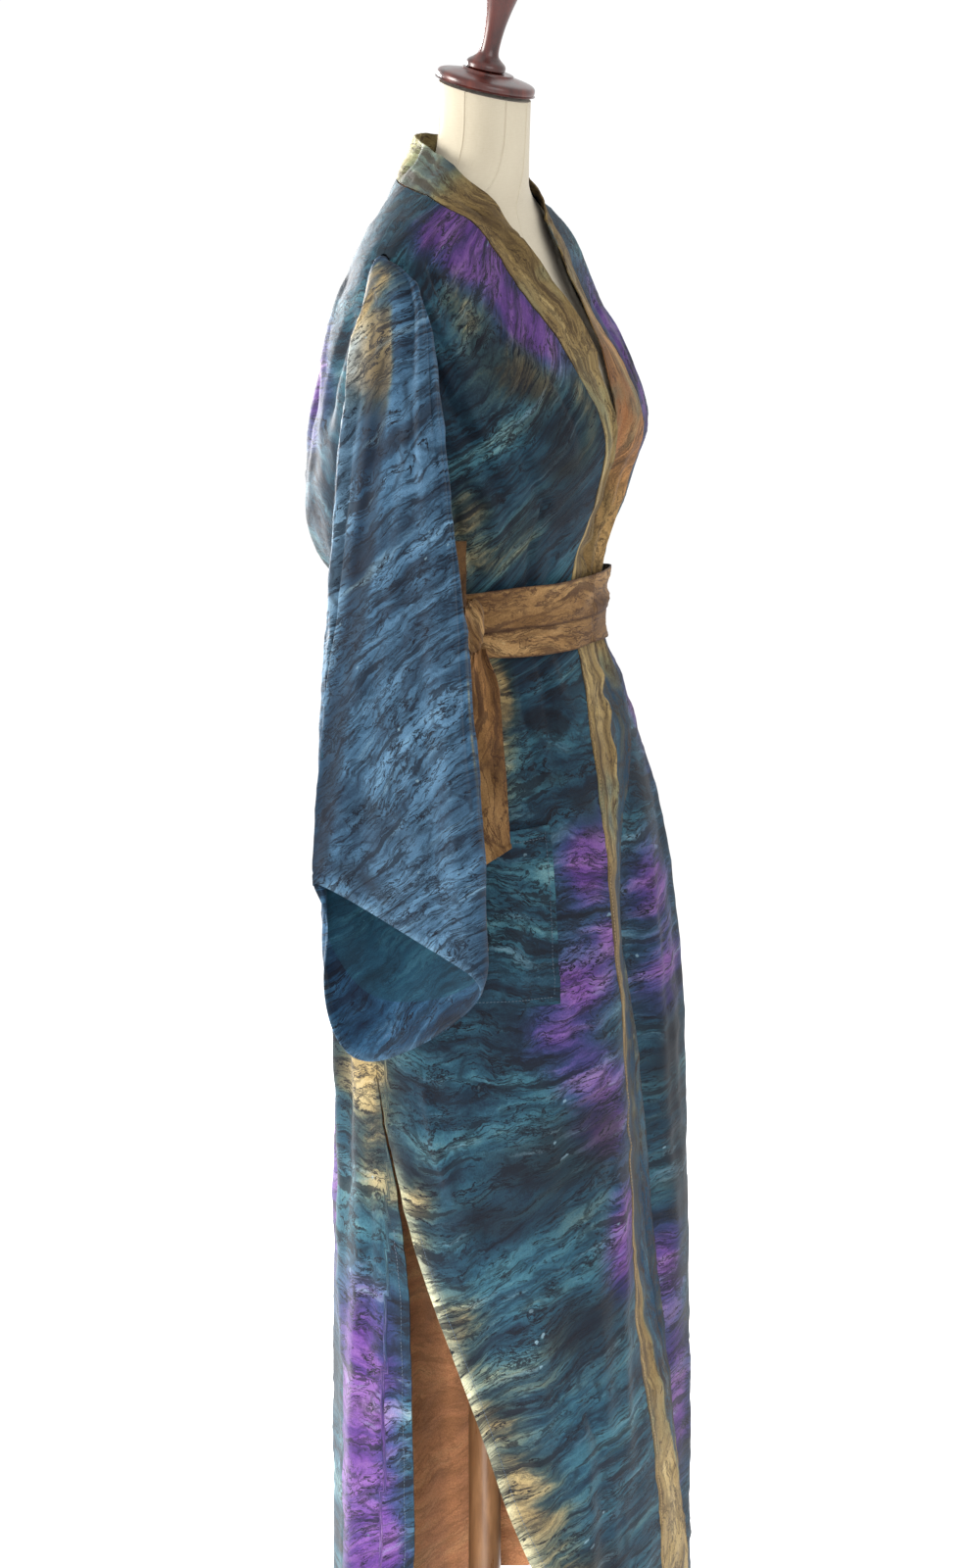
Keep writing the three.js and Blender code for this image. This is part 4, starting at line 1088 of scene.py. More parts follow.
def sleeve(side, materials):
    name = "sleeve_right" if side > 0 else "sleeve_left"
    angle, step = np.meshgrid(np.linspace(0, 2 * np.pi, SLEEVE_AROUND, endpoint=False),
                              SLEEVE_STEPS * np.linspace(0, 1, SLEEVE_DOWN))
    grid = sleeve_point(angle, step)
    normal = grid_normals(grid, True)
    flip = 1 if side > 0 else -1
    rise = sleeve_rise(angle if side > 0 else -angle + 0.4, step, grid + 0.3 * (side < 0))
    away = np.linalg.norm(grid - grid[-1:], axis=-1)
    grid = grid + normal * (rise * smooth(away / 0.03) + hem_rise(away))[..., None]
    at = turn_between(np.degrees(angle) * flip, 0)
    dye = sleeve_dye_and_painted_light(side, at, step, grid, away)
    front_back = -grid[..., 1]
    flow = np.stack([front_back + grid[..., 2] * 0.9, grid[..., 2] - 0.95 * front_back
                     + 0.012 * np.sin(grid[..., 2] * 22), 5.0 + side + 0 * step], -1)
    grid[..., 0] *= flip
    if side < 0:
        grid[..., 1] += LEFT_SLEEVE_BACK * smooth((step - 0.8) / 2.4)
    return cloth(name, "dyed_cloth", grid, materials, flow, dye, closed=True,
                 mirrored=side < 0, facing_rows=SLEEVE_FACING)


# ------------------------------------------------------------ pockets and stitches
POCKET_LIFT = 0.0024
POCKET_WIDE, POCKET_TALL = 0.14, 0.165
POCKET_GAPE, POCKET_PUFF = 0.0035, 0.0012


def pocket_grid(side):
    v, u = unit_grid(46, 44)
    a = lerp(POCKET_FRONT, POCKET_REAR, u)
    z = lerp(POCKET_BOTTOM, POCKET_TOP, v)
    z = z - POCKET_SLANT * v * (a - POCKET_FRONT) / (POCKET_REAR - POCKET_FRONT)
    rim = np.minimum.reduce([u * POCKET_WIDE, (1 - u) * POCKET_WIDE, v * POCKET_TALL])
    gape = POCKET_GAPE * smooth((v - 0.72) / 0.28) * np.sin(np.pi * u) ** 2
    puff = POCKET_PUFF * smooth(rim / 0.02)
    out = POCKET_LIFT + gape + puff + hem_rise((1 - v) * POCKET_TALL) + 0.5 * hem_rise(rim)
    return a * side, z, cloth_point(a * side, z, out)


# The pocket is cut from a stretch of the cloth with no violet in it.
POCKET_DYE = np.array([0.0, 0.6, 1.0, 1.0])
POCKET_FLOW_SHIFT = np.array([0, 0.013, 3.0])


def pocket(side, materials):
    name = "pocket_right" if side > 0 else "pocket_left"
    a, z, grid = pocket_grid(side)
    return cloth(name, "dyed_cloth", grid, materials, body_flow(a, z) + POCKET_FLOW_SHIFT,
                 body_dye_and_painted_light(a, z) * POCKET_DYE, mirrored=side < 0)


STITCH_LONG, STITCH_APART, STITCH_THICK = 0.0023, 0.0034, 0.00032


def stitches(name, runs, material):
    """Short thread stitches along rows of points that lie on a piece."""
    points, faces = [], []
    ring = [(math.cos(math.tau * k / 5), math.sin(math.tau * k / 5)) for k in range(5)]
    for run in runs:
        gaps = np.linalg.norm(np.diff(run, axis=0), axis=-1)
        far = np.concatenate([[0], np.cumsum(gaps)])
        for start in np.arange(0.002, far[-1] - STITCH_LONG, STITCH_APART):
            at = [np.array([np.interp(start + f * STITCH_LONG, far, run[:, c]) for c in range(3)])
                  for f in (0, 1)]
            way = at[1] - at[0]
            way /= max(np.linalg.norm(way), 1e-9)
            side = np.cross(way, (0.31, 0.17, 0.94))
            side /= max(np.linalg.norm(side), 1e-9)
            up = np.cross(way, side)
            base = len(points)
            for end, scale in ((at[0], 0.6), (lerp(at[0], at[1], 0.5), 1.15), (at[1], 0.6)):
                for c, s in ring:
                    points.append(end + (side * c + up * s) * STITCH_THICK * scale)
            for r in (0, 5):
                for k in range(5):
                    n = (k + 1) % 5
                    faces.append((base + r + k, base + r + n, base + r + 5 + n, base + r + 5 + k))
            faces.append(tuple(base + k for k in (4, 3, 2, 1, 0)))
            faces.append(tuple(base + 10 + k for k in range(5)))
    return add_mesh(name, points, faces, [material])


# ------------------------------------------------------------------------ belt
LOWER_LIFT, LOWER_LIFT_ANGLE, LOWER_LIFT_REACH = 0.006, 74, 30
BELT_METRES_A_RADIAN = 0.13
TIE_REACH = 14
WRAP_FOLD, WRAP_FINE, WRAP_PULL = 0.0013, 0.0006, 0.0012
END_FOLD, END_WAVE, END_FINE = 0.0024, 0.0016, 0.0006
LOOP_FOLD = 0.0010
KNOT_WOUND, KNOT_SOFT, KNOT_FINE = 0.10, 0.05, 0.02
BELT_END_RADIUS = 0.165          # of the body, where the ends hang
BELT_END_CLEAR = 0.0060
TIP_SLANT = 0.022
KNOT_PRESSED = 0.0050            # the knot sits this far into the wraps
KNOT_TURN, KNOT_DROP = 4.0, 0.004
KNOT_WAIST = 0.32                # the knot's half width, as a share of the solid's width
LOOP_TUCK = 0.0070               # the loop's foot reaches this far into the knot
LOOP_METRES_A_DEGREE = 0.0027


def plain_dye(grid):
    return np.zeros(grid.shape[:2] + (4,))


def belt_wrap(name, middle, out, seed, materials):
    """One turn of the belt; the lower one is lifted at the tie and painted in shadow below the
    upper.
    """
    v, angle = ring_grid(np.linspace(0, 1, 15), 300)
    rise = BELT_RISE * np.cos(np.radians(angle))
    z = middle + (v - 0.5) * BELT_WIDTH + rise
    near_tie = np.exp(-(turn_between(angle, TIE_ANGLE) / TIE_REACH) ** 2)
    z = z + 0.0016 * noise(angle * 0.045, seed + 0 * v, 0 * v)
    under = middle == BELT_LOWER_Z
    near_lift = turn_between(angle, LOWER_LIFT_ANGLE) / LOWER_LIFT_REACH
    z = z + under * LOWER_LIFT * np.exp(-near_lift**2)
    s = np.radians(angle) * BELT_METRES_A_RADIAN
    fold = WRAP_FOLD * ridges(s * 16 + v * 0.8, v * 2.6 + s * 5, seed + 0 * v)
    fine = WRAP_FINE * noise(s * 70, v * 6, seed + 3 + 0 * v)
    pull = near_tie * WRAP_PULL * np.sin(v * 15 + seed)
    edges = hem_rise(np.minimum(v, 1 - v) * BELT_WIDTH) * 0.8
    out = out + np.clip(fold + fine, -0.0014, 0.0016) + pull + edges
    grid = ring_point(BODY_RINGS, angle, z, out)
    flow = np.stack([s, v * BELT_WIDTH + 0.006 * np.sin(s * 21 + seed), 8 + seed + 0 * v], -1)
    dye = plain_dye(grid)
    # Darker overall, and darker along both edges.
    dye[..., 2] = 0.2 + 0.7 * smooth(1 - np.minimum(v, 1 - v) / 0.09)
    # Painted shadow on the lower wrap where the upper one overlaps it.
    covered = (BELT_UPPER_Z - BELT_WIDTH / 2 + rise - z) / 0.005
    dye[..., 2] += under * smooth(1 - covered)
    return cloth(name, "belt_cloth", grid, materials, flow, dye, closed=True)


def belt_end(name, row, materials):
    """A hanging end: pinched at the tie, cut on a slant at its tip."""
    angle, sweep, lift, top, bottom, width = (BELT_ENDS[c][row] for c in BELT_ENDS)
    v, u = unit_grid(90, 15, -1)
    pinch = lerp(1, 0.45, smooth((v - 0.8) / 0.2))
    half = np.degrees(width / 2 / BELT_END_RADIUS)
    a = angle + sweep * (1 - v) + half * pinch * u
    tip = TIP_SLANT * smooth((0.14 - v) / 0.14) * (1 - u) / 2
    z = lerp(bottom, top, v) + tip
    fold = END_FOLD * smooth((v - 0.5) / 0.5) * np.cos(u * 5 + 0.8 * np.sin(v * 5))
    wave = (END_WAVE * noise(v * 7 + row * 5, u * 1.3, 0 * v)
            + END_FINE * noise(v * 34, u * 4, 0 * v))
    edges = hem_rise((1 - np.abs(u)) * width / 2) + hem_rise(v * (top - bottom))
    out = BELT_END_CLEAR + lift + fold + wave + edges
    grid = cloth_point(a, z, out, 0.6)
    flow = np.stack([z, u * width / 2 + 0.006 * np.sin(z * 25 + row), 11.0 + row + 0 * v], -1)
    dye = plain_dye(grid)
    dye[..., 0] = 0.4 * smooth((v - 0.3) / 0.4)
    # Painted shade: the back end is a little darker.
    dye[..., 2] = 0.10 * row
    return cloth(name, "belt_cloth", grid, materials, flow, dye)


def belt_loop(materials):
    """The loop that stands up from the knot."""
    turn, u = np.meshgrid(np.linspace(0, 2 * np.pi, 72, endpoint=False),
                          np.linspace(-1, 1, 13), indexing="ij")
    reach = LOOP_WIDE / 2 / LOOP_METRES_A_DEGREE * u
    pinch = lerp(0.55, 1.0, smooth((np.sin(turn) + 1.0) / 1.1))
    z = LOOP_Z + np.sin(turn) * LOOP_TALL / 2 - LOOP_TUCK * smooth(-np.sin(turn))
    deep = (1 + np.cos(turn)) * LOOP_DEEP / 2
    fold = LOOP_FOLD * np.cos(u * 6 + 2 * np.sin(turn)) * smooth((0.4 - np.sin(turn)))
    grid = ring_point(BODY_RINGS, LOOP_ANGLE + reach * pinch, z, LOOP_CLEAR + deep + fold)
    grid = grid.transpose(1, 0, 2)
    s = (turn * 0.022).T
    flow = np.stack([s, (u * LOOP_WIDE / 2).T, 14 + 0 * s], -1)
    dye = plain_dye(grid)
    dye[..., 2] = 0.5
    return cloth("belt_loop", "belt_cloth", grid, materials, flow, dye, closed=True)


def belt_knot(materials):
    """A strip wound over itself: a plump oval with slanting wound edges."""
    tilt, turn = ring_grid(np.linspace(0.02, np.pi - 0.02, 60), 96)
    turn = np.radians(turn)
    x, y, z = np.sin(tilt) * np.cos(turn), np.sin(tilt) * np.sin(turn), np.cos(tilt)
    slant = z * 2.1 + y * 1.5
    wound = KNOT_WOUND * (np.abs(((slant * 0.9) % 1) - 0.5) * 2) ** 0.5
    soft = (KNOT_SOFT * noise(x * 2.2 + 4, y * 2.2, z * 2.2)
            + KNOT_FINE * noise(x * 7, y * 7, z * 7))
    size = 0.86 + wound + soft
    box = [np.sign(c) * np.abs(c) ** 0.8 for c in (x, y, z)]
    local = np.stack([box[0] * KNOT_DEEP / 2, box[1] * KNOT_WIDE * KNOT_WAIST,
                      box[2] * KNOT_TALL / 2], -1) * size[..., None]
    at, level = np.array([TIE_ANGLE + KNOT_TURN]), np.array([BELT_UPPER_Z])
    out = (cloth_point(at, level, 0.001, 0) - cloth_point(at, level, 0.0, 0))[0]
    face = math.atan2(out[1], out[0])
    place = ring_point(BODY_RINGS, at, level - KNOT_DROP,
                       KNOT_CLEAR + KNOT_DEEP / 2 - KNOT_PRESSED)[0]
    c, s = math.cos(face), math.sin(face)
    grid = np.stack([local[..., 0] * c - local[..., 1] * s, local[..., 0] * s + local[..., 1] * c,
                     local[..., 2]], -1) + place
    points, faces = capped(grid, grid[[0, -1]].mean(1), inside_out=True)
    flow = np.stack([local[..., 1] + slant * 0.01, slant * 0.012, 17 + 0 * slant], -1)
    flow = np.concatenate([flow.reshape(-1, 3), np.full((2, 3), 17.0)])
    piece = add_mesh("belt_knot_cloth", points, faces, materials, flow=flow,
                     dye=np.zeros((len(points), 4)))
    return stand_in(piece, "belt_knot")


# ------------------------------------------------------------------------ form
FORM_SEAMS = (0.0, 38.0, 90.0, 142.0, 180.0, 218.0, 270.0, 322.0)
FORM_METRES_A_DEGREE = 0.0026
GROOVE_DEEP, GROOVE_WIDE = 0.0007, 0.0016
WELT_RISE, WELT_AWAY, WELT_WIDE = 0.0003, 0.004, 0.002


def form_torso(material):
    z, angle = ring_grid(np.linspace(FORM_RINGS["z"][0], NECK_TOP_Z, 190), 256)
    groove = 0.0
    for seam in FORM_SEAMS:
        away = turn_between(angle, seam) * FORM_METRES_A_DEGREE
        welt = np.exp(-((np.abs(away) - WELT_AWAY) / WELT_WIDE) ** 2)
        groove = groove - GROOVE_DEEP * np.exp(-(away / GROOVE_WIDE) ** 2) + WELT_RISE * welt
    base = -0.0006 * smooth((0.778 - z) / 0.006)
    grid = ring_point(FORM_RINGS, angle, z, groove + base - 0.0001)
    bend = np.maximum(0, (z - NECK_BEND_Z) / (NECK_TOP_Z - NECK_BEND_Z))
    grid[..., 2] += bend * grid[..., 1] * math.tan(CAP_TILT)
    points, faces = capped(grid, grid[[0, -1]].mean(1))
    s = np.radians(angle) * BELT_METRES_A_RADIAN
    flow = np.concatenate([np.stack([s, z, 0 * z], -1).reshape(-1, 3), np.zeros((2, 3))])
    piece = add_mesh("form_torso_cover", points, faces, [material], flow=flow)
    return stand_in(piece, "form_torso")


def curve_through(profile, fine):
    """More points between a profile's own, on a soft curve that keeps its corners."""
    p = np.array(profile, float)
    out = []
    for i in range(len(p) - 1):
        before, after = p[max(i - 1, 0)], p[min(i + 2, len(p) - 1)]
        for t in np.linspace(0, 1, fine, endpoint=False):
            a, b = p[i], p[i + 1]
            out.append(0.5 * (2 * a + (b - before) * t + (2 * before - 5 * a + 4 * b - after) * t**2
                              + (3 * a - before - 3 * b + after) * t**3))
    return np.array(out + [p[-1]])


def turned(name, profile, material, tilt=0.0, at_z=0.0, fine=6):
    """A lathe turned piece; its profile is radius and height, from the axis to the axis."""
    p = curve_through(profile, fine)
    r, turn = np.meshgrid(np.maximum(p[1:-1, 0], 0), math.tau * np.arange(96) / 96, indexing="ij")
    rings = np.stack([r * np.cos(turn), r * np.sin(turn), p[1:-1, 1][:, None] + 0 * turn], -1)
    points, faces = capped(rings, [(0, 0, p[0, 1]), (0, 0, p[-1, 1])])
    points = points @ np.array(Matrix.Rotation(tilt, 3, "X")).T + np.array([0, 0, at_z])
    return stand_in(add_mesh(name + "_turned", points, faces, [material]), name)


# ------------------------------------------------------------------- materials
class Paint:
    """Small helper round one material's nodes."""

    def __init__(self, name, roughness, **inputs):
        self.material = bpy.data.materials.new(name)
        self.material.use_nodes = True
        self.nodes = self.material.node_tree.nodes
        self.links = self.material.node_tree.links
        self.shader = self.nodes["Principled BSDF"]
        self.shader.inputs["Roughness"].default_value = roughness
        for socket, value in inputs.items():
            self.shader.inputs[socket.replace("_", " ")].default_value = value

    def put(self, node, socket, value):
        if isinstance(value, bpy.types.NodeSocket):
            self.links.new(value, node.inputs[socket])
        elif value is not None:
            node.inputs[socket].default_value = value

    def attribute(self, name, output="Vector"):
        node = self.nodes.new("ShaderNodeAttribute")
        node.attribute_name = name
        return node.outputs[output]

    def math(self, operation, a, b=None, c=None, clamp=False):
        node = self.nodes.new("ShaderNodeMath")
        node.operation, node.use_clamp = operation, clamp
        for i, value in enumerate((a, b, c)):
            self.put(node, i, value)
        return node.outputs[0]

    def vector(self, operation, a, b=None):
        node = self.nodes.new("ShaderNodeVectorMath")
        node.operation = operation
        self.put(node, 0, a)
        if b is not None:
            self.put(node, "Scale" if operation == "SCALE" else 1, b)
        return node.outputs[0]

    def noise(self, vector, scale=1.0, detail=4.0, rough=0.55, twist=0.0, output="Fac"):
        node = self.nodes.new("ShaderNodeTexNoise")
        self.put(node, "Vector", vector)
        self.put(node, "Scale", scale)
        self.put(node, "Detail", detail)
        self.put(node, "Roughness", rough)
        self.put(node, "Distortion", twist)
        return node.outputs[output]

    def cells(self, vector, scale, feature="DISTANCE_TO_EDGE"):
        node = self.nodes.new("ShaderNodeTexVoronoi")
        node.feature = feature
        self.put(node, "Vector", vector)
        self.put(node, "Scale", scale)
        return node.outputs["Distance"]

    def step(self, value, low, high, to_low=0.0, to_high=1.0):
        node = self.nodes.new("ShaderNodeMapRange")
        node.interpolation_type = "SMOOTHSTEP"
        for i, v in enumerate((value, low, high, to_low, to_high)):
            self.put(node, i, v)
        return node.outputs[0]

    def ramp(self, value, *stops):
        node = self.nodes.new("ShaderNodeValToRGB")
        self.put(node, 0, value)
        elements = node.color_ramp.elements
        while len(elements) < len(stops):
            elements.new(0.5)
        for element, (at, colour) in zip(elements, stops):
            element.position = at
            element.color = rgb(colour)
        return node.outputs[0]

    def mix(self, factor, a, b, blend="MIX"):
        node = self.nodes.new("ShaderNodeMix")
        node.data_type, node.blend_type = "RGBA", blend
        self.put(node, "Factor", factor)
        self.put(node, 6, a)
        self.put(node, 7, b)
        return node.outputs[2]

    def bump(self, height, distance, strength=1.0, after=None):
        node = self.nodes.new("ShaderNodeBump")
        self.put(node, "Height", height)
        self.put(node, "Distance", distance)
        self.put(node, "Strength", strength)
        if after is not None:
            self.put(node, "Normal", after)
        return node.outputs[0]

    def finish(self, colour, normal=None, roughness=None):
        self.put(self.shader, "Base Color", colour)
        self.put(self.shader, "Normal", normal)
        self.put(self.shader, "Roughness", roughness)
        return self.material


def rgb(colour):
    """Linear colour from display values of 0 to 255."""
    return (*((c / 255) ** 2.2 for c in colour), 1.0)


THREADS = 420.0                  # scale of the two thread waves


def weave_bump(paint, flow, creases):
    """Plain weave threads, over the creases the dye bath left."""
    waves = []
    for direction in "XY":
        wave = paint.nodes.new("ShaderNodeTexWave")
        wave.bands_direction = direction
        paint.put(wave, "Vector", flow)
        paint.put(wave, "Scale", THREADS)
        waves.append(wave.outputs["Fac"])
    height = paint.math("ADD", *waves)
    first = paint.bump(height, 0.00006, 0.5)
    return paint.bump(creases, 0.0016, 0.55, first)


def centred(p, value, weight):
    """A noise about zero, weighted."""
    return p.math("MULTIPLY", p.math("SUBTRACT", value, 0.5), weight)


def summed(p, value, *parts, clamp=False):
    """A value plus noises that are centred on zero and weighted."""
    for i, (part, weight) in enumerate(parts, 1):
        value = p.math("ADD", value, centred(p, part, weight), clamp=clamp and i == len(parts))
    return value


def warped(p, flow):
    """The flow coordinates, pulled about as the bundled cloth was."""
    bent = flow
    for scale, detail, rough, reach in (
            (9.0, 2.0, 0.55, 0.055), (42.0, 3.0, 0.6, 0.0085), (260.0, 3.0, 0.6, 0.0026)):
        colour = p.noise(flow, scale, detail, rough, output="Color")
        pull = p.vector("SUBTRACT", colour, (0.5, 0.5, 0.5))
        bent = p.vector("ADD", bent, p.vector("SCALE", pull, reach))
    return bent


def dyed_cotton(name, palette, zones=True, deep=1.0):
    """Cotton dyed in a crushed bundle: strokes and blots with pooled dark edges; the mesh's colour
    channels add painted shade and painted highlights.
    """
    p = Paint(name, 0.75, Sheen_Weight=0.05, Sheen_Roughness=0.5, Specular_IOR_Level=0.2)
    flow = p.attribute("flow")
    bent = warped(p, flow)

    def stretched(along, across, detail, rough, twist=0.0):
        return p.noise(p.vector("MULTIPLY", bent, (along, across, 9.0)), 1.0, detail, rough, twist)

    broad = stretched(4.0, 12.0, 3.0, 0.5)
    streak = stretched(7.0, 42.0, 5.0, 0.60, 0.3)
    blot = stretched(26.0, 84.0, 6.0, 0.62, 0.7)
    grain = stretched(120.0, 260.0, 5.0, 0.7, 0.6)
    sweep = stretched(3.2, 25.0, 4.0, 0.55, 0.2)
    tone = summed(p, 0.45, (broad, 0.95), (sweep, 0.95), (streak, 1.20), (blot, 0.60),
                  (grain, 0.36), clamp=True)
    colour = p.ramp(tone, *palette["ground"])
    ragged = summed(p, centred(p, streak, 1.1), (blot, 0.7), (grain, 0.3))
    if zones:
        parts = p.nodes.new("ShaderNodeSeparateColor")
        p.put(parts, 0, p.attribute("dye", "Color"))
        for channel, key in ((0, "violet"), (1, "gold")):
            amount = parts.outputs[channel]
            weight = p.math("MULTIPLY_ADD", ragged, p.step(amount, 0.0, 0.45), amount)
            colour = p.mix(p.step(weight, 0.05, 0.60, 0.0, 0.75), colour,
                           p.ramp(tone, *palette["edge_" + key]))
            colour = p.mix(p.step(weight, 0.40, 1.1), colour, p.ramp(tone, *palette[key]))
        # The fourth channel paints light: highlights on the sleeves, the slit strip that is partly
        # pale dye and partly painted light, and a paler band at the nape.
        pale = p.math("MULTIPLY", p.attribute("dye", "Alpha"), p.step(tone, 0.2, 0.8, 0.25, 1.0))
        colour = p.mix(p.math("MULTIPLY", pale, 0.8), colour, rgb(palette["lit"]))
        # The dark channel holds dark dye, and also painted shade on the sleeves and the belt.
        dark = p.math("ADD", parts.outputs[2], ragged)
        dark = p.step(dark, 0.3, 0.95, 0.0, 0.8)
        colour = p.mix(dark, colour, rgb(palette["dark"]))
    some = p.step(broad, 0.34, 0.56)
    breaks = p.step(p.noise(bent, 30.0, 2.0), 0.36, 0.50)
    lines = p.math("MULTIPLY", p.step(stretched(9.0, 80.0, 5.0, 0.6, 0.3), 0.57, 0.61),
                   0.80 * deep)
    for along, across, width, gate, weight in (
            (7.0, 40.0, 0.016, breaks, 1.0), (20.0, 84.0, 0.030, some, 0.9)):
        at = p.math("SUBTRACT", stretched(along, across, 6.0, 0.62, 0.9), 0.5)
        vein = p.step(p.math("ABSOLUTE", at), 0.2 * width, width, 1.0, 0.0)
        vein = p.math("MULTIPLY", vein, p.math("MULTIPLY", gate, weight * deep))
        lines = p.math("MAXIMUM", lines, vein)
    chips = p.vector("MULTIPLY", bent, (17.0, 60.0, 9.0))
    chip = p.step(p.cells(chips, 1.0), 0.01, 0.07, 1.0, 0.0)
    chip = p.math("MULTIPLY", chip, p.math("MULTIPLY", breaks, 0.5 * deep))
    lines = p.math("MAXIMUM", lines, chip)
    light = p.math("MULTIPLY", p.step(stretched(9.0, 62.0, 4.0, 0.6, 0.4), 0.56, 0.72),
                   p.step(tone, 0.3, 0.7))
    colour = p.mix(p.math("MULTIPLY", light, 0.34), colour, rgb(palette["pale"]))
    colour = p.mix(lines, colour, rgb(palette["dark"]))
    drops = p.cells(p.vector("MULTIPLY", bent, (40.0, 52.0, 9.0)), 1.0, "F1")
    drops = p.math("MULTIPLY", p.step(drops, 0.06, 0.10, 1.0, 0.0), p.step(broad, 0.54, 0.58))
    colour = p.mix(p.math("MULTIPLY", drops, 0.5), colour, rgb(palette["pale"]))
    mottle = p.noise(flow, 620.0, 3.0, 0.7)
    colour = p.mix(p.step(mottle, 0.32, 0.68, 0.0, 0.34), colour, (0.0, 0.0, 0.0, 1.0), "MULTIPLY")
    creases = summed(p, streak, (blot, 0.6), (sweep, 1.2))
    creases = p.math("SUBTRACT", creases, p.math("MULTIPLY", lines, 0.25))
    return p.finish(colour, weave_bump(p, flow, creases))


TEAL_DYE = {
    "ground": ((0.0, (8, 16, 28)), (0.25, (15, 37, 52)), (0.46, (31, 64, 80)),
               (0.68, (54, 94, 107)), (0.88, (96, 132, 136)), (1.0, (138, 162, 148))),
    "edge_violet": ((0.0, (22, 22, 58)), (0.5, (56, 52, 108)), (1.0, (120, 108, 158))),
    "violet": ((0.0, (44, 26, 72)), (0.35, (82, 48, 114)), (0.65, (114, 78, 138)),
               (1.0, (158, 132, 172))),
    "edge_gold": ((0.0, (26, 38, 42)), (0.4, (56, 70, 64)), (0.7, (98, 104, 82)),
                  (1.0, (150, 148, 114))),
    "gold": ((0.0, (66, 56, 40)), (0.3, (118, 100, 68)), (0.6, (166, 144, 98)),
             (1.0, (220, 202, 154))),
    "dark": (7, 14, 26),
    "pale": (128, 158, 172),
    # lit: the slit strip's colour, partly pale dye and partly painted light.
    "lit": (236, 230, 188),
}
# On the sleeves the lit colour is painted light: the lit front, the rim behind the ridge and the
# lip's highlight.
BLUE_DYE = dict(TEAL_DYE, ground=(
    (0.0, (8, 20, 38)), (0.25, (18, 42, 64)), (0.48, (34, 70, 98)),
    (0.70, (54, 92, 124)), (0.90, (90, 128, 156)), (1.0, (128, 164, 182))),
    dark=(6, 16, 30), lit=(140, 176, 200))
INSIDE_TEAL = {"ground": ((0.0, (16, 40, 54)), (0.5, (28, 66, 86)), (1.0, (54, 102, 120))),
               "dark": (10, 24, 36), "pale": (70, 122, 140)}
INSIDE_RUST = {"ground": ((0.0, (150, 104, 72)), (0.4, (200, 138, 96)), (0.7, (214, 160, 112)),
                          (1.0, (230, 196, 136))),
               "dark": (138, 96, 66), "pale": (220, 192, 134)}
OLIVE_DYE = {
    "ground": ((0.0, (78, 62, 38)), (0.35, (118, 98, 62)), (0.62, (150, 128, 84)),
               (1.0, (194, 172, 122))),
    "edge_violet": ((0.0, (110, 70, 40)), (1.0, (186, 136, 82))),
    "violet": ((0.0, (124, 72, 40)), (0.5, (168, 110, 64)), (1.0, (204, 150, 96))),
    "edge_gold": ((0.0, (60, 64, 52)), (1.0, (140, 144, 110))),
    "gold": ((0.0, (12, 28, 44)), (0.5, (32, 58, 78)), (1.0, (84, 118, 130))),
    "dark": (56, 42, 30), "pale": (186, 176, 132), "lit": (184, 196, 150),
}
BELT_DYE = dict(OLIVE_DYE, ground=(
    (0.0, (70, 48, 30)), (0.35, (112, 82, 50)), (0.65, (146, 112, 72)),
    (1.0, (184, 150, 102))), dark=(62, 40, 28), pale=(184, 156, 110))


def linen(name):
    p = Paint(name, 0.85, Sheen_Weight=0.2, Specular_IOR_Level=0.25)
    flow = p.attribute("flow")
    warp = p.noise(p.vector("MULTIPLY", flow, (1400.0, 60.0, 1.0)), 1.0, 2.0)
    weft = p.noise(p.vector("MULTIPLY", flow, (60.0, 1400.0, 1.0)), 1.0, 2.0)
    threads = p.math("ADD", warp, weft)
    broad = p.noise(flow, 9.0, 3.0)
    colour = p.ramp(p.math("ADD", p.math("MULTIPLY", threads, 0.3), p.math("MULTIPLY", broad, 0.4)),
                    (0.2, (168, 156, 134)), (0.8, (196, 188, 168)))
    return p.finish(colour, p.bump(threads, 0.00012, 0.6))


def polished(name, deep, middle, light):
    p = Paint(name, 0.3, Coat_Weight=0.35, Coat_Roughness=0.18, Specular_IOR_Level=0.45)
    place = p.nodes.new("ShaderNodeTexCoord").outputs["Object"]
    along_it = p.vector("MULTIPLY", place, (60.0, 60.0, 9.0))
    grain = p.noise(along_it, 1.0, 6.0, 0.6, 0.5)
    pores = p.noise(p.vector("MULTIPLY", place, (700.0, 700.0, 40.0)), 1.0, 3.0)
    colour = p.ramp(grain, (0.3, deep), (0.55, middle), (0.75, light))
    colour = p.mix(p.step(pores, 0.55, 0.7, 0.0, 0.45), colour, rgb(deep))
    return p.finish(colour, p.bump(pores, 0.00004, 0.4), p.step(grain, 0.3, 0.7, 0.26, 0.38))


def thread(name, colour):
    p = Paint(name, 0.6, Sheen_Weight=0.3)
    fine = p.noise(p.nodes.new("ShaderNodeTexCoord").outputs["Object"], 900.0, 2.0)
    dull = tuple(c * 0.75 for c in colour)
    return p.finish(p.ramp(fine, (0.3, dull), (0.7, colour)))


teal_cloth = dyed_cotton("teal_cloth", TEAL_DYE)
blue_cloth = dyed_cotton("blue_cloth", BLUE_DYE)
teal_inside = dyed_cotton("teal_inside", INSIDE_TEAL, False, 0.5)
rust_inside = dyed_cotton("rust_inside", INSIDE_RUST, False, 0.6)
band_cloth = dyed_cotton("olive_band", OLIVE_DYE, True, 0.85)
belt_cloth = dyed_cotton("rust_belt", BELT_DYE, True, 0.85)
cover_cloth = linen("form_linen")
wood = polished("satin_mahogany", (38, 15, 13), (78, 32, 25), (106, 50, 36))
pole_wood = polished("brown_pole_wood", (92, 64, 44), (124, 90, 62), (150, 112, 78))
blue_thread = thread("blue_thread", (44, 68, 88))
tan_thread = thread("tan_thread", (150, 122, 80))


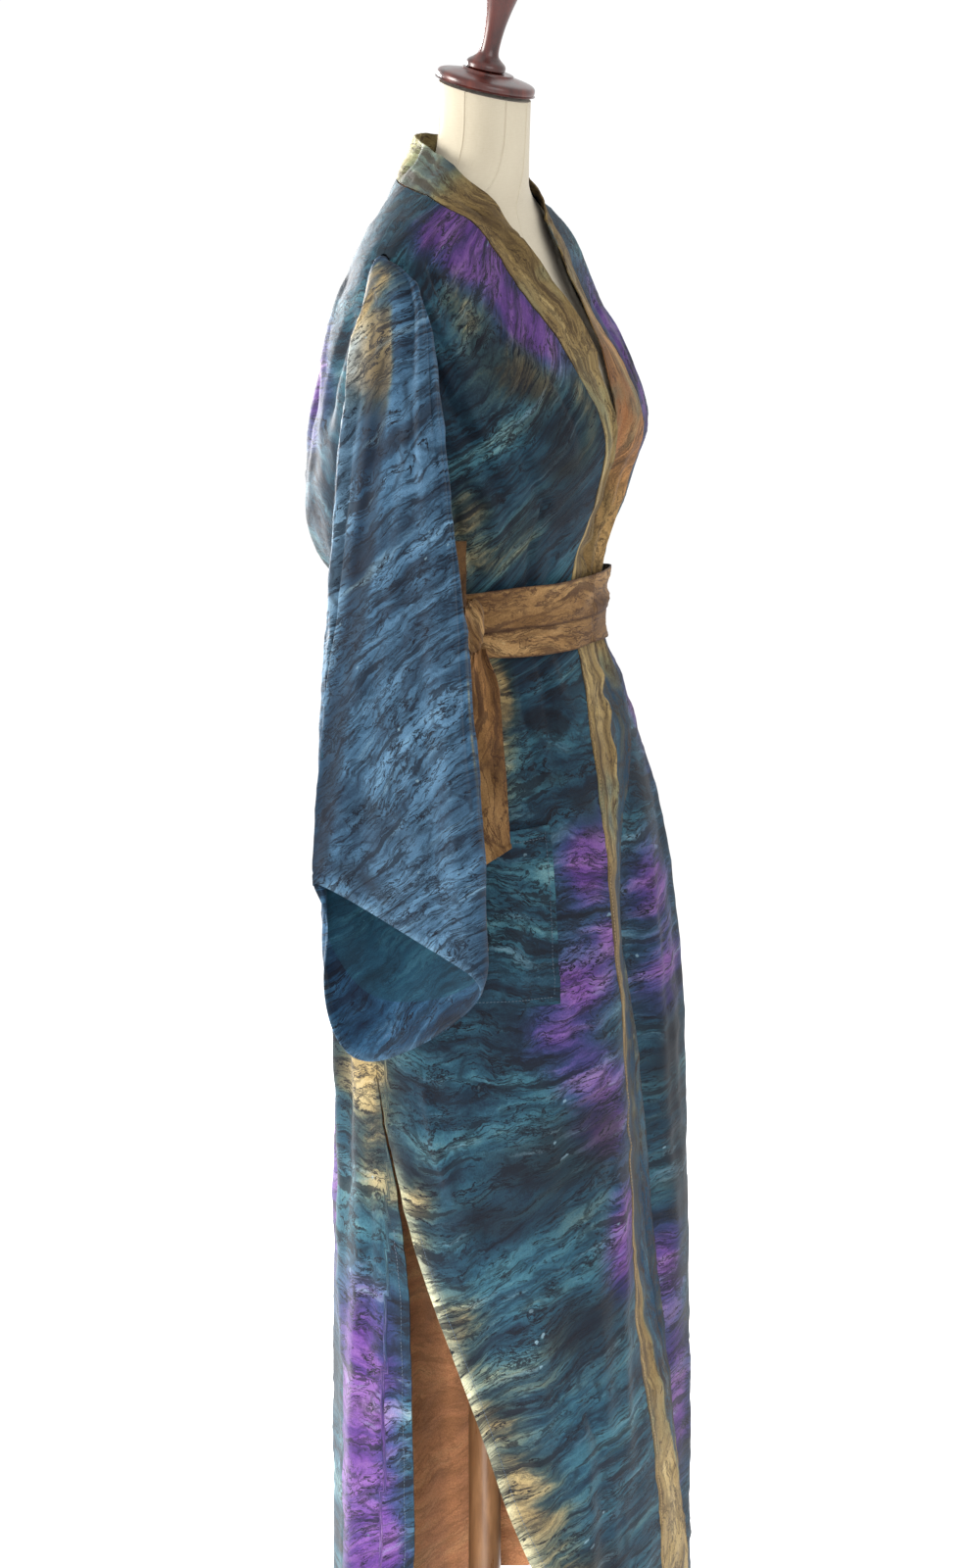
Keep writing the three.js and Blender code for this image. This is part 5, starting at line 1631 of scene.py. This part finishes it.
# ------------------------------------------------------------------ the garment
right_front = panel("front_right", [teal_cloth, teal_inside],
                    edge("right_seam", LEVELS), edge("front", LEVELS) - arm, 62,
                    slit_columns=(-1,))
left_front = panel("front_left", [teal_cloth, teal_inside],
                   arm - left_side, edge("left_seam", LEVELS), 56, out=underlap)
back = panel("back_panel", [teal_cloth, rust_inside],
             edge("back", LEVELS) + arm, 360 - left_side - arm, 124,
             lift=nape_lift, slit_columns=(0,))
right_band = band(1, [band_cloth])
left_band = band(-1, [band_cloth])
right_sleeve = sleeve(1, [blue_cloth, teal_inside])
left_sleeve = sleeve(-1, [blue_cloth, teal_inside])
right_pocket = pocket(1, [teal_cloth])
left_pocket = pocket(-1, [teal_cloth])
lower_wrap = belt_wrap("belt_lower_wrap", BELT_LOWER_Z, BELT_CLEAR, 1, [belt_cloth])
upper_wrap = belt_wrap("belt_upper_wrap", BELT_UPPER_Z, 2 * BELT_CLEAR, 5, [belt_cloth])
knot = belt_knot([belt_cloth])
loop = belt_loop([belt_cloth])
front_end = belt_end("belt_end_front", 0, [belt_cloth])
back_end = belt_end("belt_end_back", 1, [belt_cloth])

form_torso(cover_cloth)
turned("neck_cap", (
    (0, 0), (0.0440, 0), (0.0462, 0.0012), (0.0469, 0.004), (0.0460, 0.0072), (0.0425, 0.0092),
    (0.0330, 0.0112), (0.0255, 0.0128), (0.0240, 0.0146), (0.0200, 0.0150), (0, 0.0150),
), wood, CAP_TILT, CAP_Z)
turned("finial", (
    (0, 0), (0.0165, 0.0004), (0.0188, 0.0030), (0.0178, 0.0070), (0.0130, 0.0110),
    (0.0098, 0.0150), (0.0090, 0.0240), (0.0100, 0.0400), (0.0125, 0.0560), (0.0160, 0.0720),
    (0.0187, 0.0860), (0.0180, 0.0970), (0.0130, 0.1060), (0.0050, 0.1100), (0, 0.1108),
), wood, CAP_TILT, CAP_Z + CAP_THICK + CAP_GAP)
turned("pole", (
    (0, 0.0274), (0.0150, 0.0276), (0.0158, 0.0290), (0.0158, 0.3000), (0.0158, 0.5600),
    (0.0158, 0.7680), (0, 0.7694),
), pole_wood, fine=4)
turned("foot", (
    (0, 0.0002), (0.1790, 0.0003), (0.1870, 0.0020), (0.1898, 0.0070), (0.1898, 0.0170),
    (0.1880, 0.0220), (0.1830, 0.0256), (0.1740, 0.0268), (0.0600, 0.0269), (0, 0.0270),
), wood, fine=4)

# Stitch lines lie on the cloth: along the hems and slit edges, a band's seam and the pocket.
STITCH_OUT = WALL / 2 + 0.0004


def on_cloth(angle, z, out=0.0):
    return cloth_point(np.asarray(angle, float), np.asarray(z, float), STITCH_OUT + out)


grid = pocket_grid(1)[-1]
top_of_pocket = grid + grid_normals(grid, False) * STITCH_OUT
pocket_thread = stitches("pocket_stitches", [
    top_of_pocket[2, 2:-2], top_of_pocket[2:-1, 2], top_of_pocket[2:-1, -3],
    top_of_pocket[-4, 2:-2],
], blue_thread)
slit_z = steps(HEM_Z + 0.012, 0.55, 0.004)
hem_a = np.linspace(14, 34, 60)
back_a = np.linspace(90, 268, 400)
hem_line = HEM_Z + HEM_DEEP
hem_thread = stitches("front_hem_stitches", [
    on_cloth(hem_a, hem_line + 0 * hem_a),
    on_cloth(edge("front", slit_z) - HEM_DEEP / METRES_A_DEGREE, slit_z),
], blue_thread)
back_thread = stitches("back_hem_stitches", [
    on_cloth(back_a, hem_line + 0 * back_a),
    on_cloth(edge("back", slit_z) + HEM_DEEP / METRES_A_DEGREE, slit_z),
], blue_thread)
chest_z = steps(HEM_Z + 0.01, 1.06, 0.004)
band_thread = stitches("band_stitches", [
    on_cloth(edge("right_seam", chest_z) - 0.9, chest_z, 0.0004),
], tan_thread)

# ------------------------------------------------------------ camera and light
axis_to_camera = np.array([math.sin(math.radians(VIEW_AZIMUTH)),
                           -math.cos(math.radians(VIEW_AZIMUTH)), 0])
rightward = np.array([-axis_to_camera[1], axis_to_camera[0], 0])


def aimed(o, place, target):
    o.location = Vector(place)
    o.rotation_euler = (Vector(target) - Vector(place)).to_track_quat("-Z", "Y").to_euler()
    bpy.context.scene.collection.objects.link(o)


camera_place = axis_to_camera * CAMERA_AWAY - rightward * AXIS_SHIFT + np.array([0, 0, CAMERA_Z])
ahead = (-axis_to_camera * math.cos(math.radians(CAMERA_PITCH))
         + np.array([0, 0, math.sin(math.radians(CAMERA_PITCH))]))
lens = bpy.data.cameras.new("camera")
lens.sensor_fit = "VERTICAL"
lens.sensor_height = SENSOR
lens.lens = FOCAL_PIXELS / FRAME_TALL * SENSOR
camera = bpy.data.objects.new("camera", lens)
aimed(camera, camera_place, camera_place + ahead)
bpy.context.scene.camera = camera


def soft_light(name, place, target, size, watts, colour=(1, 1, 1), spread=180):
    data = bpy.data.lights.new(name, "AREA")
    data.size, data.energy, data.color = size, watts, colour
    data.spread = math.radians(spread)
    aimed(bpy.data.objects.new(name, data), place, target)


middle = np.array([0, 0, 1.0])
soft_light("window", -rightward * 2.6 + axis_to_camera * 0.25 + (0, 0, 1.9), middle, 1.1, 95,
           (1.0, 0.98, 0.94))
soft_light("back_window", -rightward * 1.5 - axis_to_camera * 2.4 + (0, 0, 1.5), middle, 0.8, 200)
soft_light("fill", axis_to_camera * 3.2 + rightward * 1.6 + (0, 0, 2.2), middle, 2.4, 40)
soft_light("low_fill", axis_to_camera * 3.4 - rightward * 0.2 + (0, 0, 0.7),
           -rightward * 0.06 + (0, 0, 0.25), 0.5, 2.6, spread=22)
world = bpy.data.worlds.new("studio")
bpy.context.scene.world = world
world.use_nodes = True
world.node_tree.nodes["Background"].inputs["Color"].default_value = (1, 1, 1, 1)
world.node_tree.nodes["Background"].inputs["Strength"].default_value = 1.05
bpy.context.scene.view_settings.view_transform = "Standard"

ground = bpy.data.meshes.new("floor")
ground.from_pydata([(-9, -9, 0), (9, -9, 0), (9, 9, 0), (-9, 9, 0)], [], [(0, 1, 2, 3)])
floor = bpy.data.objects.new("floor", ground)
floor_paint = Paint("pale_floor", 0.9, Specular_IOR_Level=0.1)
speck = floor_paint.noise(floor_paint.nodes.new("ShaderNodeTexCoord").outputs["Object"], 3.0)
ground.materials.append(floor_paint.finish(
    floor_paint.ramp(speck, (0.3, (250, 250, 250)), (0.7, (253, 253, 253)))))
bpy.context.scene.collection.objects.link(floor)
